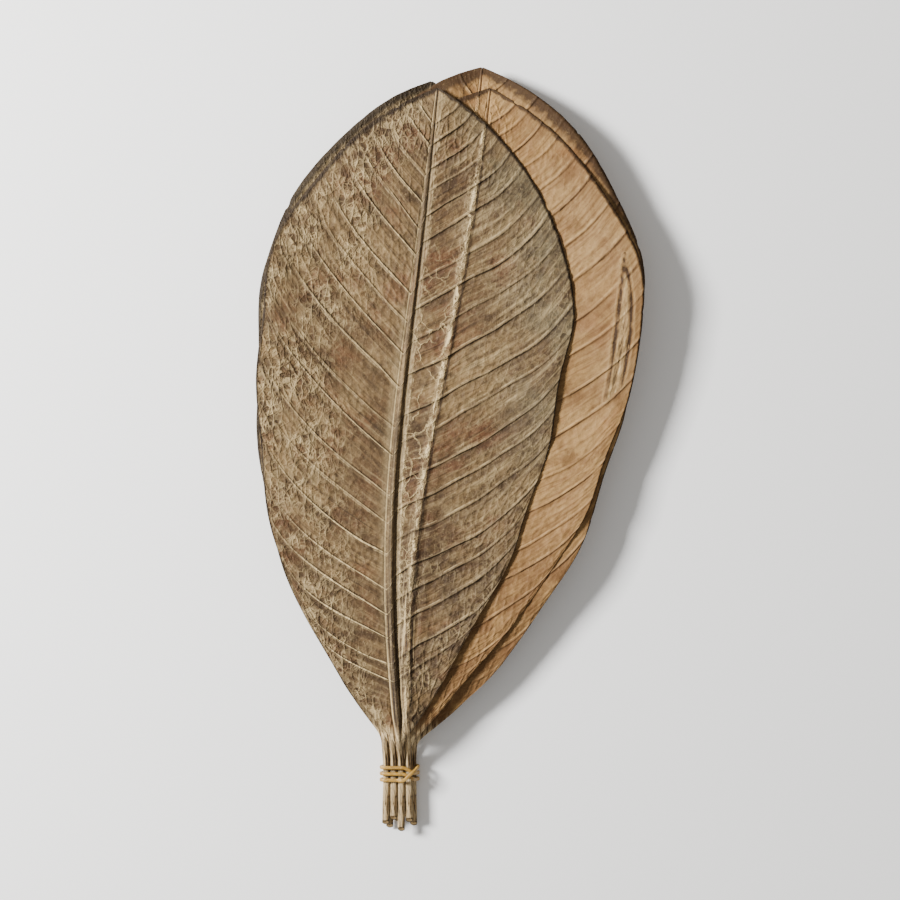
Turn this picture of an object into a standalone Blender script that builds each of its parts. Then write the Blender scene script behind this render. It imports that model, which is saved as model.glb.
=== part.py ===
# A bundle of eight dried magnolia leaves, tied round their stems with a rubber band and
# lying flat with the undersides up, so that the midribs and side veins stand proud.
# Units are metres. +Y runs from the cut stems to the leaf tips and +Z is up. The origin is
# on the surface that the bundle lies on, under the middle of the bundle's box.

import math
from typing import NamedTuple

import bmesh
import bpy
import numpy as np
from mathutils import Vector

MM = 0.001

BLADE_THICK = 0.62 * MM
CLEARANCE = 0.32 * MM  # between a leaf and what lies under it
LEVEL_STEP = 0.95 * MM  # how much higher each leaf lies than the one below it

STEM_HALF_WIDTH = 1.5 * MM
STEM_HALF_HEIGHT = 1.4 * MM
STEM_SPLAY = 3.0  # share by which the stems spread below the tie, for each metre
STEM_SWELL = 0.06  # share by which a stem is thicker at its cut end
SWOLLEN_FROM = 22 * MM  # distance below the tie of that end
CUT_SLANT = 0.8  # how far a stem's cut leans, along for each unit of height
TIE_HALF = 6 * MM  # the stems run side by side this far to each side of the tie
TURN_LENGTH = 10 * MM  # in which a stem turns from the tie's direction to its blade's

BAND_THICK = 1.2 * MM
BAND_WIDTH = 1.5 * MM
BAND_GAP = 0.3 * MM
BAND_TURNS = 3
BAND_PITCH = 2.8 * MM
BAND_POINTS = 26  # points round one turn
BAND_CROSSING = 0.16  # where a turn steps over to the next, as a share of the way round
BAND_CROSSING_WIDTH = 0.17
BAND_CLIMB = 0.06  # how much of the way round the last turn takes to climb over the others

LOWER_ROW = BAND_THICK + BAND_GAP + STEM_HALF_HEIGHT  # height of the stems nearest the surface
UPPER_ROW = LOWER_ROW + 3.0 * MM

# Half a blade's width as a share of the widest, from its base (0) to its tip (1).
OUTLINE = (
    (0.0, 0.0), (0.03, 0.12), (0.11, 0.32), (0.2, 0.55), (0.29, 0.74), (0.38, 0.86),
    (0.49, 0.95), (0.6, 0.99), (0.7, 1.0), (0.76, 0.945), (0.8, 0.87), (0.84, 0.765),
    (0.88, 0.64), (0.92, 0.49), (0.955, 0.32), (0.98, 0.16), (1.0, 0.0),
)
MARGIN_WAVE = 0.012  # how much wider and narrower a blade's outline waves
MARGIN_WAVES = 5

FIRST_VEIN = 30 * MM  # from the blade's base
LAST_VEIN = 16 * MM  # from its tip
VEIN_CROWDING = 0.03  # how much closer together the side veins stand near the base and the tip
VEIN_FOOT = 1.6 * MM
VEIN_STAGGER = 3.2 * MM  # the right-hand veins start this far ahead, the left-hand ones behind
STAGGER_IN = (0.08, 0.2)  # shares of the blade in which that begins and ends
STAGGER_OUT = (0.8, 0.95)
VEIN_BEND = 0.14  # how far a side vein bends forward on its way out, as a share of its reach
VEIN_HOOK = 0.10  # how far it turns forward again at the margin
# How far a left and a right side vein run forward for each unit outwards, at the leaf's
# foot, and how much more at its tip
VEIN_SLOPES = {-1: (0.42, 0.62), 1: (0.42, 0.36)}
BLEND_LENGTH = 17 * MM  # from a round stem to a flat blade
SETTLE_LENGTH = 22 * MM  # from the stem's height at the tie to the blade's own
STIFF_LENGTH = 6 * MM  # of the blade's base that is lifted evenly, as the stem is
COLUMN_CROWDING = 1.25  # over 1 sets a blade's columns closer together near the midrib
WIDEST = 150 * MM  # more than any blade reaches to one side

PRESSED_HALF = 3 * MM  # half the width of the ridge where the midrib below shows through
PRESSED_COLUMN = 4 * MM  # columns to each side of that ridge
RIB_END = 10 * MM  # in which the midrib below fades at its tip

FLAT_SPOT = (12 * MM, 162 * MM)  # the middle of the flat patch that the bundle rests on
FLAT_SPOT_REACH = (30 * MM, 62 * MM)
BOWL_RISE = 1.5 * MM  # how the leaves turn up away from that patch
BOWL_POWER = 1.4
LONG_WAVES = 2.3  # waves of the margins along a blade
SHORT_WAVES = 4.7

CELL = 0.5 * MM  # grid that records how high the leaves below reach
GRID_CORNER = np.array((-100 * MM, -40 * MM))
GRID_CELLS = (480, 760)
DRAPE_ROUNDS = 4


class Leaf(NamedTuple):
    name: str
    blade: float  # length from the blade's base to its tip
    left: float  # widest reach on each side of the midrib
    right: float
    lean: float  # degrees to the right of +Y
    bow: float  # how far the midrib bends to the right of the line from tie to tip
    sway: float  # share of that bend that is nearer the stem than the tip
    stem_x: float  # where the stem passes the tie
    stem_z: float
    stem_end: float  # length of stem below the tie
    start: float  # distance from the tie to the blade's base
    curl: float  # how far the margins turn up
    phase: float  # of the waves along the margins
    colour: tuple
    slim: float = 1.0  # under 1 for a fuller blade than the common outline
    veins: int = 11  # pairs of side veins
    crests: bool = False  # side veins as narrow ridges, or as broad pleats
    columns: int = 4  # on each side of the midrib
    rib: float = 1.6 * MM  # height of the midrib at the blade's base
    relief: float = 0.25 * MM  # height of the side veins


# From the bottom of the pile to the top.
LEAVES = (
    Leaf("leaf_8", blade=284 * MM, left=66 * MM, right=70 * MM, slim=0.9,
         lean=4.1, bow=-4.2 * MM, sway=0.15, curl=1.0 * MM, phase=0.4,
         stem_x=-1.5 * MM, stem_z=LOWER_ROW, stem_end=21 * MM, start=11 * MM,
         veins=16, columns=6, rib=1.7 * MM, relief=0.3 * MM, colour=(0.22, 0.15, 0.09)),
    Leaf("leaf_7", blade=293 * MM, left=62 * MM, right=68 * MM,
         lean=2.9, bow=-5.5 * MM, sway=0.15, curl=1.6 * MM, phase=2.1,
         stem_x=-4.9 * MM, stem_z=LOWER_ROW, stem_end=24 * MM, start=10 * MM,
         colour=(0.28, 0.19, 0.12)),
    Leaf("leaf_6", blade=295 * MM, left=68 * MM, right=74 * MM,
         lean=5.8, bow=-2 * MM, sway=0.15, curl=1.2 * MM, phase=3.7,
         stem_x=1.9 * MM, stem_z=LOWER_ROW, stem_end=19 * MM, start=12 * MM,
         colour=(0.2, 0.13, 0.08)),
    Leaf("leaf_5", blade=282 * MM, left=57 * MM, right=64 * MM, slim=1.05,
         lean=1.5, bow=-6 * MM, sway=0.2, curl=2.0 * MM, phase=5.2,
         stem_x=-6.65 * MM, stem_z=UPPER_ROW - 0.1 * MM, stem_end=22 * MM, start=12 * MM,
         colour=(0.26, 0.18, 0.11)),
    Leaf("leaf_4", blade=300 * MM, left=65 * MM, right=66 * MM, slim=0.96,
         lean=3.2, bow=-7.8 * MM, sway=0.2, curl=1.4 * MM, phase=1.2,
         stem_x=-3.3 * MM, stem_z=UPPER_ROW, stem_end=20 * MM, start=11 * MM,
         colour=(0.24, 0.17, 0.11)),
    Leaf("leaf_3", blade=307 * MM, left=66 * MM, right=82 * MM, slim=0.86,
         lean=5.7, bow=-2 * MM, sway=0.3, curl=1.8 * MM, phase=2.9,
         stem_x=5.3 * MM, stem_z=LOWER_ROW, stem_end=23 * MM, start=11 * MM,
         colour=(0.36, 0.25, 0.15)),
    Leaf("leaf_2", blade=299 * MM, left=76 * MM, right=83 * MM,
         lean=6.9, bow=-6.7 * MM, sway=0.45, curl=1.6 * MM, phase=0.9,
         stem_x=3.5 * MM, stem_z=UPPER_ROW, stem_end=21 * MM, start=10 * MM,
         veins=18, columns=6, rib=2.4 * MM, relief=0.35 * MM, colour=(0.38, 0.26, 0.15)),
    Leaf("leaf_1", blade=297 * MM, left=66 * MM, right=71 * MM,
         lean=3.1, bow=-9.2 * MM, sway=0.22, curl=1.4 * MM, phase=4.4,
         stem_x=0.1 * MM, stem_z=UPPER_ROW + 0.2 * MM, stem_end=25 * MM, start=10 * MM,
         veins=20, crests=True, columns=8, rib=2.3 * MM, relief=0.45 * MM,
         colour=(0.29, 0.22, 0.14)),
)
BAND_COLOUR = (0.62, 0.43, 0.16)


def smooth_step(low, high, value):
    q = np.clip((value - low) / (high - low), 0, 1)
    return q * q * (3 - 2 * q)


def outline_share(q):
    """The outline's table as a smooth curve through its points."""
    table = np.array(OUTLINE)
    x, y = table.T
    slope = np.gradient(y, x)
    n = int(np.clip(np.searchsorted(x, q) - 1, 0, len(x) - 2))
    width = x[n + 1] - x[n]
    t = (q - x[n]) / width
    start = (1 + 2 * t) * (1 - t) ** 2 * y[n] + t * (1 - t) ** 2 * width * slope[n]
    end = t**2 * (3 - 2 * t) * y[n + 1] + t**2 * (t - 1) * width * slope[n + 1]
    return max(0.0, start + end)


def half_width(leaf, along, side):
    """Half the width of a blade, at a distance from the tie, on side -1 or 1."""
    q = np.clip((along - leaf.start) / leaf.blade, 0, 1)
    shape = outline_share(q) ** leaf.slim
    wave = 1 + MARGIN_WAVE * math.sin(2 * math.pi * MARGIN_WAVES * q + leaf.phase + side)
    reach = leaf.right if side > 0 else leaf.left
    return reach * shape * wave


def spine(leaf, along):
    """Where the middle of a stem or midrib runs, seen from above, and the way to its right."""
    lean = math.radians(leaf.lean)
    ahead = np.array((math.sin(lean), math.cos(lean)))
    right = np.array((math.cos(lean), -math.sin(lean)))
    if along <= TIE_HALF:
        spread = leaf.stem_x * (1 + STEM_SPLAY * max(0.0, -along - TIE_HALF))
        return np.array((spread, along)), np.array((1.0, 0.0))
    free = along - TIE_HALF
    whole = leaf.start + leaf.blade - TIE_HALF
    turn = math.pi * free / whole
    bend = leaf.bow * (math.sin(turn) + leaf.sway * math.sin(2 * turn))
    slope = leaf.bow * (math.cos(turn) + 2 * leaf.sway * math.cos(2 * turn)) * math.pi / whole
    point = np.array((leaf.stem_x, TIE_HALF)) + ahead * free + right * bend
    square = right - ahead * slope
    square /= np.linalg.norm(square)
    turned_in = smooth_step(0, TURN_LENGTH, free)
    square = (1 - turned_in) * np.array((1.0, 0.0)) + turned_in * square
    return point, square / np.linalg.norm(square)


def vein_places(leaf):
    """Where each side vein leaves the midrib, closer together towards the base and the tip."""
    first = leaf.start + FIRST_VEIN
    last = leaf.start + leaf.blade - LAST_VEIN
    steps = np.linspace(0, 1, leaf.veins)
    return first + (last - first) * (steps - VEIN_CROWDING * np.sin(2 * math.pi * steps))


def stations(leaf):
    """Rows across the leaf, as (distance along the midrib, share of the vein relief)."""
    end = leaf.start + leaf.blade
    rows = [(-leaf.stem_end, 0), (-0.5 * leaf.stem_end, 0), (-TIE_HALF * 0.5, 0), (TIE_HALF, 0)]
    rows += [(leaf.start + step * MM, 0) for step in (0, 4.5, 9, 14, 20)]
    places = vein_places(leaf)
    for place, following in zip(places, list(places[1:]) + [None]):
        if leaf.crests:
            rows += [(place - VEIN_FOOT, 0), (place, 1), (place + VEIN_FOOT, 0)]
        else:
            rows.append((place, 1))
            if following is not None:
                rows.append((0.5 * (place + following), 0))
    rows += [(end - step * MM, 0) for step in (9, 4, 0.8)]
    return rows


def vein_foot(leaf, along, side):
    """Where a row leaves the midrib on one side, because the side veins alternate."""
    q = (along - leaf.start) / leaf.blade
    window = smooth_step(*STAGGER_IN, q) * (1 - smooth_step(*STAGGER_OUT, q))
    return along + side * VEIN_STAGGER * window


def forward_slope(leaf, along, side):
    """How far a side vein runs forward for each unit outwards."""
    q = np.clip((along - leaf.start) / leaf.blade, 0, 1)
    at_foot, more_at_tip = VEIN_SLOPES[side]
    flat = smooth_step(leaf.start, leaf.start + BLEND_LENGTH, along)
    return (at_foot + more_at_tip * q) * flat


def margin_reach(leaf, along, side):
    """How far out a vein that starts at this distance meets the margin."""
    slope = forward_slope(leaf, along, side)
    bend = smooth_step(leaf.start, leaf.start + BLEND_LENGTH, along)
    low, high = 0.0, WIDEST
    for _ in range(30):
        middle = 0.5 * (low + high)
        ahead = middle * (slope + bend * (VEIN_BEND + VEIN_HOOK))
        if half_width(leaf, along + ahead, side) > middle:
            low = middle
        else:
            high = middle
    return low, slope, bend


def vein_path(leaf, along, side, share, reach, slope, bend):
    """How far forward a row has run at this share of its way to the margin."""
    bent = VEIN_BEND * share**3 + VEIN_HOOK * share**8
    return reach * (share * slope + bend * bent)


def midrib(leaf, along):
    """Half the midrib's width and its height over the blade."""
    q = np.clip((along - leaf.start) / leaf.blade, 0, 1)
    return (1.7 * (1 - q) ** 0.7 + 0.5) * MM, leaf.rib * (1 - q) ** 0.9 + 0.25 * MM


def past_midrib(leaf, point):
    """How far a point lies to the right of a leaf's midrib, and the midrib's height there."""
    along = point[1]
    for _ in range(3):
        centre, right = spine(leaf, along)
        ahead = np.array((-right[1], right[0]))
        along += float((point - centre) @ ahead)
    centre, right = spine(leaf, along)
    beyond = smooth_step(leaf.start + leaf.blade - RIB_END, leaf.start + leaf.blade, along)
    return float((point - centre) @ right), midrib(leaf, along)[1] * (1 - beyond)


def natural_height(leaf, level, point, out, along, below):
    """Where a blade's lower face would lie by itself. out is -1 to 1 across."""
    gone = np.hypot(
        (point[0] - FLAT_SPOT[0]) / FLAT_SPOT_REACH[0],
        (point[1] - FLAT_SPOT[1]) / FLAT_SPOT_REACH[1],
    )
    q = np.clip((along - leaf.start) / leaf.blade, 0, 1)
    bowl = BOWL_RISE * max(0.0, gone - 1) ** BOWL_POWER
    waves = 0.7 + 0.5 * math.sin(2 * math.pi * LONG_WAVES * q + leaf.phase + out)
    waves += 0.35 * math.sin(2 * math.pi * SHORT_WAVES * q + 2.3 * leaf.phase - out)
    turned_up = leaf.curl * abs(out) ** 3 * waves * smooth_step(0, 1, 2.5 * max(0.0, gone - 1))
    pressed = 0.0
    if below:
        away, high = past_midrib(below, point)
        pressed = high * math.exp(-((away / PRESSED_HALF) ** 2))
    return level + bowl + max(0.0, turned_up) + pressed


def columns_out(leaf, foot, side, row, rib_edge, below):
    """How far out a row's points stand, from the midrib to the margin."""
    reach, slope, bend = row
    count = leaf.columns
    outs = [0.0, 0.55 * rib_edge, rib_edge]
    if not (below and side > 0):
        steps = np.arange(1, count - 1) / (count - 2)
        return outs + list(rib_edge + (reach - rib_edge) * steps**COLUMN_CROWDING)
    low, high = rib_edge, reach
    for _ in range(25):
        middle = 0.5 * (low + high)
        along = foot + vein_path(leaf, foot, side, middle / max(reach, 1e-9), reach, slope, bend)
        centre, right = spine(leaf, along)
        if past_midrib(below, centre + right * middle)[0] < 0:
            low = middle
        else:
            high = middle
    span = reach - rib_edge
    near = min(PRESSED_COLUMN, 0.2 * span)
    crest = min(max(low, rib_edge + 2 * near), reach - 2 * near)
    outs += [0.5 * (rib_edge + crest - near), crest - near, crest, crest + near]
    return outs + [0.5 * (crest + near + reach), reach]


def leaf_grid(leaf, level, below):
    """The upper and lower faces as rows of points, and how free each row is to be lifted."""
    count = leaf.columns
    index = np.arange(-count, count + 1)
    lean_angle = 0.5 * math.pi * index / (count + 0.5)
    upper, lower, free = [], [], []
    stem_foot = leaf.stem_z - STEM_HALF_HEIGHT
    for along, vein in stations(leaf):
        flat = float(smooth_step(leaf.start, leaf.start + BLEND_LENGTH, along))
        swell = 1 + STEM_SWELL * smooth_step(TIE_HALF, SWOLLEN_FROM, -along)
        rib_half, rib_high = midrib(leaf, along)
        row_up, row_down = [], []
        feet = {side: vein_foot(leaf, along, side) for side in (-1, 1)}
        sides = {side: margin_reach(leaf, feet[side], side) for side in (-1, 1)}
        rib_edges = {side: min(rib_half, 0.45 * sides[side][0]) for side in (-1, 1)}
        outs = {
            side: columns_out(leaf, feet[side], side, sides[side], rib_edges[side], below)
            for side in (-1, 1)
        }
        settled = float(smooth_step(TIE_HALF, leaf.start + SETTLE_LENGTH, along))
        centre, _ = spine(leaf, along)
        middle_height = natural_height(leaf, level, centre, 0, along, below)
        middle_height = (1 - settled) * stem_foot + settled * middle_height
        for j, angle in zip(index, lean_angle):
            side = 1 if j >= 0 else -1
            reach, slope, bend = sides[side]
            rib_edge = rib_edges[side]
            out = outs[side][abs(j)]
            share = min(1.0, out / reach) if reach > 0 else 0.0
            round_out = STEM_HALF_WIDTH * swell * abs(math.sin(angle))
            round_up = STEM_HALF_HEIGHT * math.cos(angle)
            across = (1 - flat) * round_out + flat * out
            foot = along + (feet[side] - along) * min(1.0, 0.5 * abs(j))
            ahead = foot - along + flat * vein_path(leaf, foot, side, share, reach, slope, bend)
            cut = CUT_SLANT if along <= -leaf.stem_end else 0.0
            place, right = spine(leaf, along + ahead)
            point = place + right * side * across
            height = natural_height(leaf, level, point, side * share, along + ahead, below)
            height = (1 - settled) * stem_foot + settled * height
            bump = rib_high * max(0.0, 1 - (out / rib_edge) ** 2) if rib_edge > 0 else 0.0
            relief = leaf.relief * vein * (1 - share) ** 0.35 if abs(j) > 1 else 0.0
            top_flat = height + BLADE_THICK + bump + relief
            centre_line = middle_height + STEM_HALF_HEIGHT
            top = (1 - flat) * (centre_line + round_up * swell) + flat * top_flat
            bottom = (1 - flat) * (centre_line - round_up) + flat * height
            row_up.append((point[0], point[1] + cut * (top - centre_line), top))
            row_down.append((point[0], point[1] + cut * (bottom - centre_line), bottom))
        upper.append(row_up)
        lower.append(row_down)
        free.append(0.0 if along <= TIE_HALF else 1.0)
    return np.array(upper), np.array(lower), np.array(free)


def face_triangles(rows, columns):
    """Two triangles for each square of a face, with the long diagonal along the side veins."""
    found = []
    middle = (columns - 1) // 2
    for i in range(rows - 1):
        for j in range(columns - 1):
            a, b = i * columns + j, i * columns + j + 1
            c, d = a + columns, b + columns
            found += [(a, b, d), (a, d, c)] if j < middle else [(a, b, c), (b, d, c)]
    return found


def cells_in(corners):
    """The grid cells under a triangle and the three corners' weights at each of them."""
    spots = (corners - GRID_CORNER) / CELL
    low = np.maximum(np.ceil(spots.min(axis=0)).astype(int), 0)
    high = np.minimum(np.floor(spots.max(axis=0)).astype(int), np.array(GRID_CELLS) - 1)
    if (high < low).any():
        return None
    x = np.arange(low[0], high[0] + 1)[:, None]
    y = np.arange(low[1], high[1] + 1)[None, :]
    (ax, ay), (bx, by), (cx, cy) = spots
    area = (bx - ax) * (cy - ay) - (cx - ax) * (by - ay)
    if abs(area) < 1e-9:
        return None
    second = ((x - ax) * (cy - ay) - (cx - ax) * (y - ay)) / area
    third = ((bx - ax) * (y - ay) - (x - ax) * (by - ay)) / area
    first = 1 - second - third
    inside = (first >= -1e-6) & (second >= -1e-6) & (third >= -1e-6)
    window = (slice(low[0], high[0] + 1), slice(low[1], high[1] + 1))
    return window, (first, second, third), inside


def record_height(cover, points, triangles):
    """Raises the record of how high the pile reaches to a new upper face."""
    flat = points.reshape(-1, 3)
    for triangle in triangles:
        found = cells_in(flat[list(triangle), :2])
        if found is None:
            continue
        window, weights, inside = found
        height = sum(w * flat[v, 2] for w, v in zip(weights, triangle))
        cover[window] = np.where(inside, np.maximum(cover[window], height), cover[window])


def widened(cover):
    """The record with each height spread to the cells next to it."""
    spread = cover.copy()
    for axis in (0, 1):
        for step in (-1, 1):
            spread = np.maximum(spread, np.roll(cover, step, axis=axis))
    return spread


def needed_lift(cover, points, triangles):
    """How far each point of a lower face has to rise to clear the record."""
    flat = points.reshape(-1, 3)
    lift = np.zeros(len(flat))
    for triangle in triangles:
        found = cells_in(flat[list(triangle), :2])
        if found is None:
            continue
        window, weights, inside = found
        height = sum(w * flat[v, 2] for w, v in zip(weights, triangle))
        short = np.where(inside, cover[window] + CLEARANCE - height, 0.0).max(initial=0.0)
        for v in triangle:
            lift[v] = max(lift[v], short)
    return lift.reshape(points.shape[:2])


def eased(lift, free):
    """The lift spread to the rows and columns beside it, and even across the stem."""
    padded = np.pad(lift, 1, mode="edge")
    around = padded[:-2, 1:-1] + padded[2:, 1:-1] + padded[1:-1, :-2] + padded[1:-1, 2:]
    return (0.5 * lift + 0.125 * around) * free[:, None]


def draped(upper, lower, free, cover, stem_rows):
    """The two faces, lifted to lie on the leaves below."""
    triangles = face_triangles(*lower.shape[:2])
    wide = widened(cover)
    total = np.zeros(lower.shape[:2])
    for attempt in range(DRAPE_ROUNDS):
        tried = lower.copy()
        tried[:, :, 2] += total
        total += needed_lift(wide, tried, triangles) * free[:, None]
        total[:stem_rows] = total[:stem_rows].max(axis=1, keepdims=True)
        if attempt < DRAPE_ROUNDS - 1:
            for _ in range(3):
                total = eased(total, free)
    upper, lower = upper.copy(), lower.copy()
    upper[:, :, 2] += total
    lower[:, :, 2] += total
    return upper, lower


def material(name, colour, roughness):
    made = bpy.data.materials.new(name)
    made.use_nodes = True
    shader = made.node_tree.nodes["Principled BSDF"]
    shader.inputs["Base Color"].default_value = (*colour, 1)
    shader.inputs["Roughness"].default_value = roughness
    shader.inputs["Metallic"].default_value = 0.0
    return made


def placed_object(name, mesh, origin, parent):
    """An object whose mesh is moved so that its own origin is at a point of the bundle."""
    for vertex in mesh.vertices:
        vertex.co -= origin
    made = bpy.data.objects.new(name, mesh)
    bpy.context.scene.collection.objects.link(made)
    made.parent = parent
    made.location = origin
    return made


def leaf_object(leaf, upper, lower, parent):
    """One closed leaf: two faces, the margins between them, and the cut stem and tip."""
    rows, columns = upper.shape[:2]
    shape = bmesh.new()
    top = [shape.verts.new(point) for point in upper.reshape(-1, 3)]
    bottom = [shape.verts.new(point) for point in lower.reshape(-1, 3)]
    for a, b, c in face_triangles(rows, columns):
        shape.faces.new((top[a], top[b], top[c]))
        shape.faces.new((bottom[c], bottom[b], bottom[a]))
    margins = [[i * columns for i in range(rows)], [i * columns + columns - 1 for i in range(rows)]]
    ends = [list(range(columns)), list(range((rows - 1) * columns, rows * columns))]
    for edge in margins + ends:
        for a, b in zip(edge[:-1], edge[1:]):
            shape.faces.new((top[a], top[b], bottom[b], bottom[a]))
    bmesh.ops.recalc_face_normals(shape, faces=shape.faces)
    mesh = bpy.data.meshes.new(leaf.name)
    shape.to_mesh(mesh)
    shape.free()
    mesh.shade_smooth()
    mesh.set_sharp_from_angle(angle=math.radians(50))
    mesh.materials.append(material(leaf.name + "_dried", leaf.colour, 0.75))
    return placed_object(leaf.name, mesh, Vector((leaf.stem_x, 0, leaf.stem_z)), parent)


def stem_hull(offset):
    """Points round the stems at the tie, evenly spaced, this far outside them."""
    outline = []
    for angle in np.linspace(0, 2 * math.pi, 360, endpoint=False):
        away = np.array((math.cos(angle), math.sin(angle)))
        half = np.array((STEM_HALF_WIDTH, STEM_HALF_HEIGHT))
        edge = half**2 * away / np.linalg.norm(half * away)
        spots = [np.array((leaf.stem_x, leaf.stem_z)) + edge for leaf in LEAVES]
        outline.append(max(spots, key=lambda spot: float(spot @ away)) + away * offset)
    outline = np.array(outline + outline[:1])
    lengths = np.linalg.norm(np.diff(outline, axis=0), axis=1)
    gone = np.concatenate(([0], np.cumsum(lengths)))
    return outline, gone


def band_place(outline, gone, share):
    """A point and its outward direction at a share of the way round the stems."""
    step = 0.002
    spots = [
        np.array([np.interp((q % 1) * gone[-1], gone, outline[:, axis]) for axis in (0, 1)])
        for q in (share - step, share, share + step)
    ]
    way = spots[2] - spots[0]
    out = np.array((way[1], -way[0])) / np.linalg.norm(way)
    return spots[1], out


def band_object(parent):
    """A rubber band wound three times round the stems, its last turn stepping back over the others."""
    outline, gone = stem_hull(BAND_GAP + 0.5 * BAND_THICK)
    section = [
        (BAND_WIDTH * w, BAND_THICK * t)
        for w, t in ((0.5, 0), (0.32, 0.5), (-0.32, 0.5), (-0.5, 0), (-0.32, -0.5), (0.32, -0.5))
    ]
    shape = bmesh.new()
    rings = []
    for step in range(BAND_TURNS * BAND_POINTS):
        turn, share = divmod(step / BAND_POINTS, 1)
        begin = BAND_CROSSING - 0.5 * BAND_CROSSING_WIDTH
        moved = float(smooth_step(begin, begin + BAND_CROSSING_WIDTH, share))
        here, there = turn, (turn + 1) % BAND_TURNS
        along = ((1 - moved) * here + moved * there - 0.5 * (BAND_TURNS - 1)) * BAND_PITCH
        raised = 0.0
        if turn == BAND_TURNS - 1:
            climb = smooth_step(begin - BAND_CLIMB, begin, share)
            end = begin + BAND_CROSSING_WIDTH
            drop = smooth_step(end, end + BAND_CLIMB, share)
            raised = float(climb - drop) * (BAND_THICK + CLEARANCE)
        spot, out = band_place(outline, gone, share)
        ring = []
        for wide, high in section:
            x, z = spot + out * (raised + high)
            ring.append(shape.verts.new((x, along + wide, z)))
        rings.append(ring)
    for ring, following in zip(rings, rings[1:] + rings[:1]):
        for k in range(len(section)):
            n = (k + 1) % len(section)
            shape.faces.new((ring[k], ring[n], following[n], following[k]))
    bmesh.ops.recalc_face_normals(shape, faces=shape.faces)
    mesh = bpy.data.meshes.new("rubber_band")
    shape.to_mesh(mesh)
    shape.free()
    mesh.shade_smooth()
    mesh.materials.append(material("amber_rubber", BAND_COLOUR, 0.45))
    x, z = outline.mean(axis=0)
    return placed_object("rubber_band", mesh, Vector((x, 0, z)), parent)


def bundle():
    for old in list(bpy.data.objects):
        bpy.data.objects.remove(old)
    parent = bpy.data.objects.new("bundle", None)
    bpy.context.scene.collection.objects.link(parent)
    cover = np.full(GRID_CELLS, -1.0)
    low, high = np.full(3, np.inf), np.full(3, -np.inf)
    for order, leaf in enumerate(LEAVES):
        below = LEAVES[order - 1] if leaf.crests else None
        upper, lower, free = leaf_grid(leaf, order * LEVEL_STEP, below)
        stem_rows = sum(1 for along, _ in stations(leaf) if along < leaf.start + STIFF_LENGTH)
        upper, lower = draped(upper, lower, free, cover, stem_rows)
        record_height(cover, upper, face_triangles(*upper.shape[:2]))
        leaf_object(leaf, upper, lower, parent)
        for face in (upper, lower):
            low = np.minimum(low, face.reshape(-1, 3).min(axis=0))
            high = np.maximum(high, face.reshape(-1, 3).max(axis=0))
    band_object(parent)
    middle = 0.5 * (low + high)
    parent.location = (-middle[0], -middle[1], 0)


bundle()
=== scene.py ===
import math

import bpy
import numpy as np
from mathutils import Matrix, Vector
from mathutils.bvhtree import BVHTree


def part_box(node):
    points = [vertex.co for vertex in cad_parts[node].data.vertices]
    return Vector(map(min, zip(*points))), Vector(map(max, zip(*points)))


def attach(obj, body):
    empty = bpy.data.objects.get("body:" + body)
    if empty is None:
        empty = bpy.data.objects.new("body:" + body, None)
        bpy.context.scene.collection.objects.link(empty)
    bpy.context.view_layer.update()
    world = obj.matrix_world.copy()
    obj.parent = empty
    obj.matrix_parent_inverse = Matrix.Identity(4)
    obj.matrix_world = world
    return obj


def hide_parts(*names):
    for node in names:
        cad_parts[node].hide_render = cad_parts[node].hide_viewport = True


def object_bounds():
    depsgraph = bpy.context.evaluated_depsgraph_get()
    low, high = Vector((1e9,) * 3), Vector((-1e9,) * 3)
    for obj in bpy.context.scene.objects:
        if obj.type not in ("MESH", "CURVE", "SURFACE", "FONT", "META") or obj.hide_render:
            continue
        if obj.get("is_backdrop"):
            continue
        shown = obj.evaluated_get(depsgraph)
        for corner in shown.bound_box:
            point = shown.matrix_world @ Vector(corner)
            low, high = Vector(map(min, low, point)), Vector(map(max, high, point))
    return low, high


# A tied bundle of dried magnolia leaves, lying with the undersides up.
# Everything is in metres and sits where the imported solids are.

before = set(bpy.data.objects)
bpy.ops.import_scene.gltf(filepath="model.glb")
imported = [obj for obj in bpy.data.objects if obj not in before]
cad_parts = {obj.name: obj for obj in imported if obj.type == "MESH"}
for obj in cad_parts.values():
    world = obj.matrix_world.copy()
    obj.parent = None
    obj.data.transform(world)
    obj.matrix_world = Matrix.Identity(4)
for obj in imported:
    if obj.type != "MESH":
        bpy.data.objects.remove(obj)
cadLow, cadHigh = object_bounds()
print("frame loaded")

mm = 0.001


# One wrapped socket, so that node maths can be written as plain expressions.
# It serves the materials and the Geometry Nodes trees alike.

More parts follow.
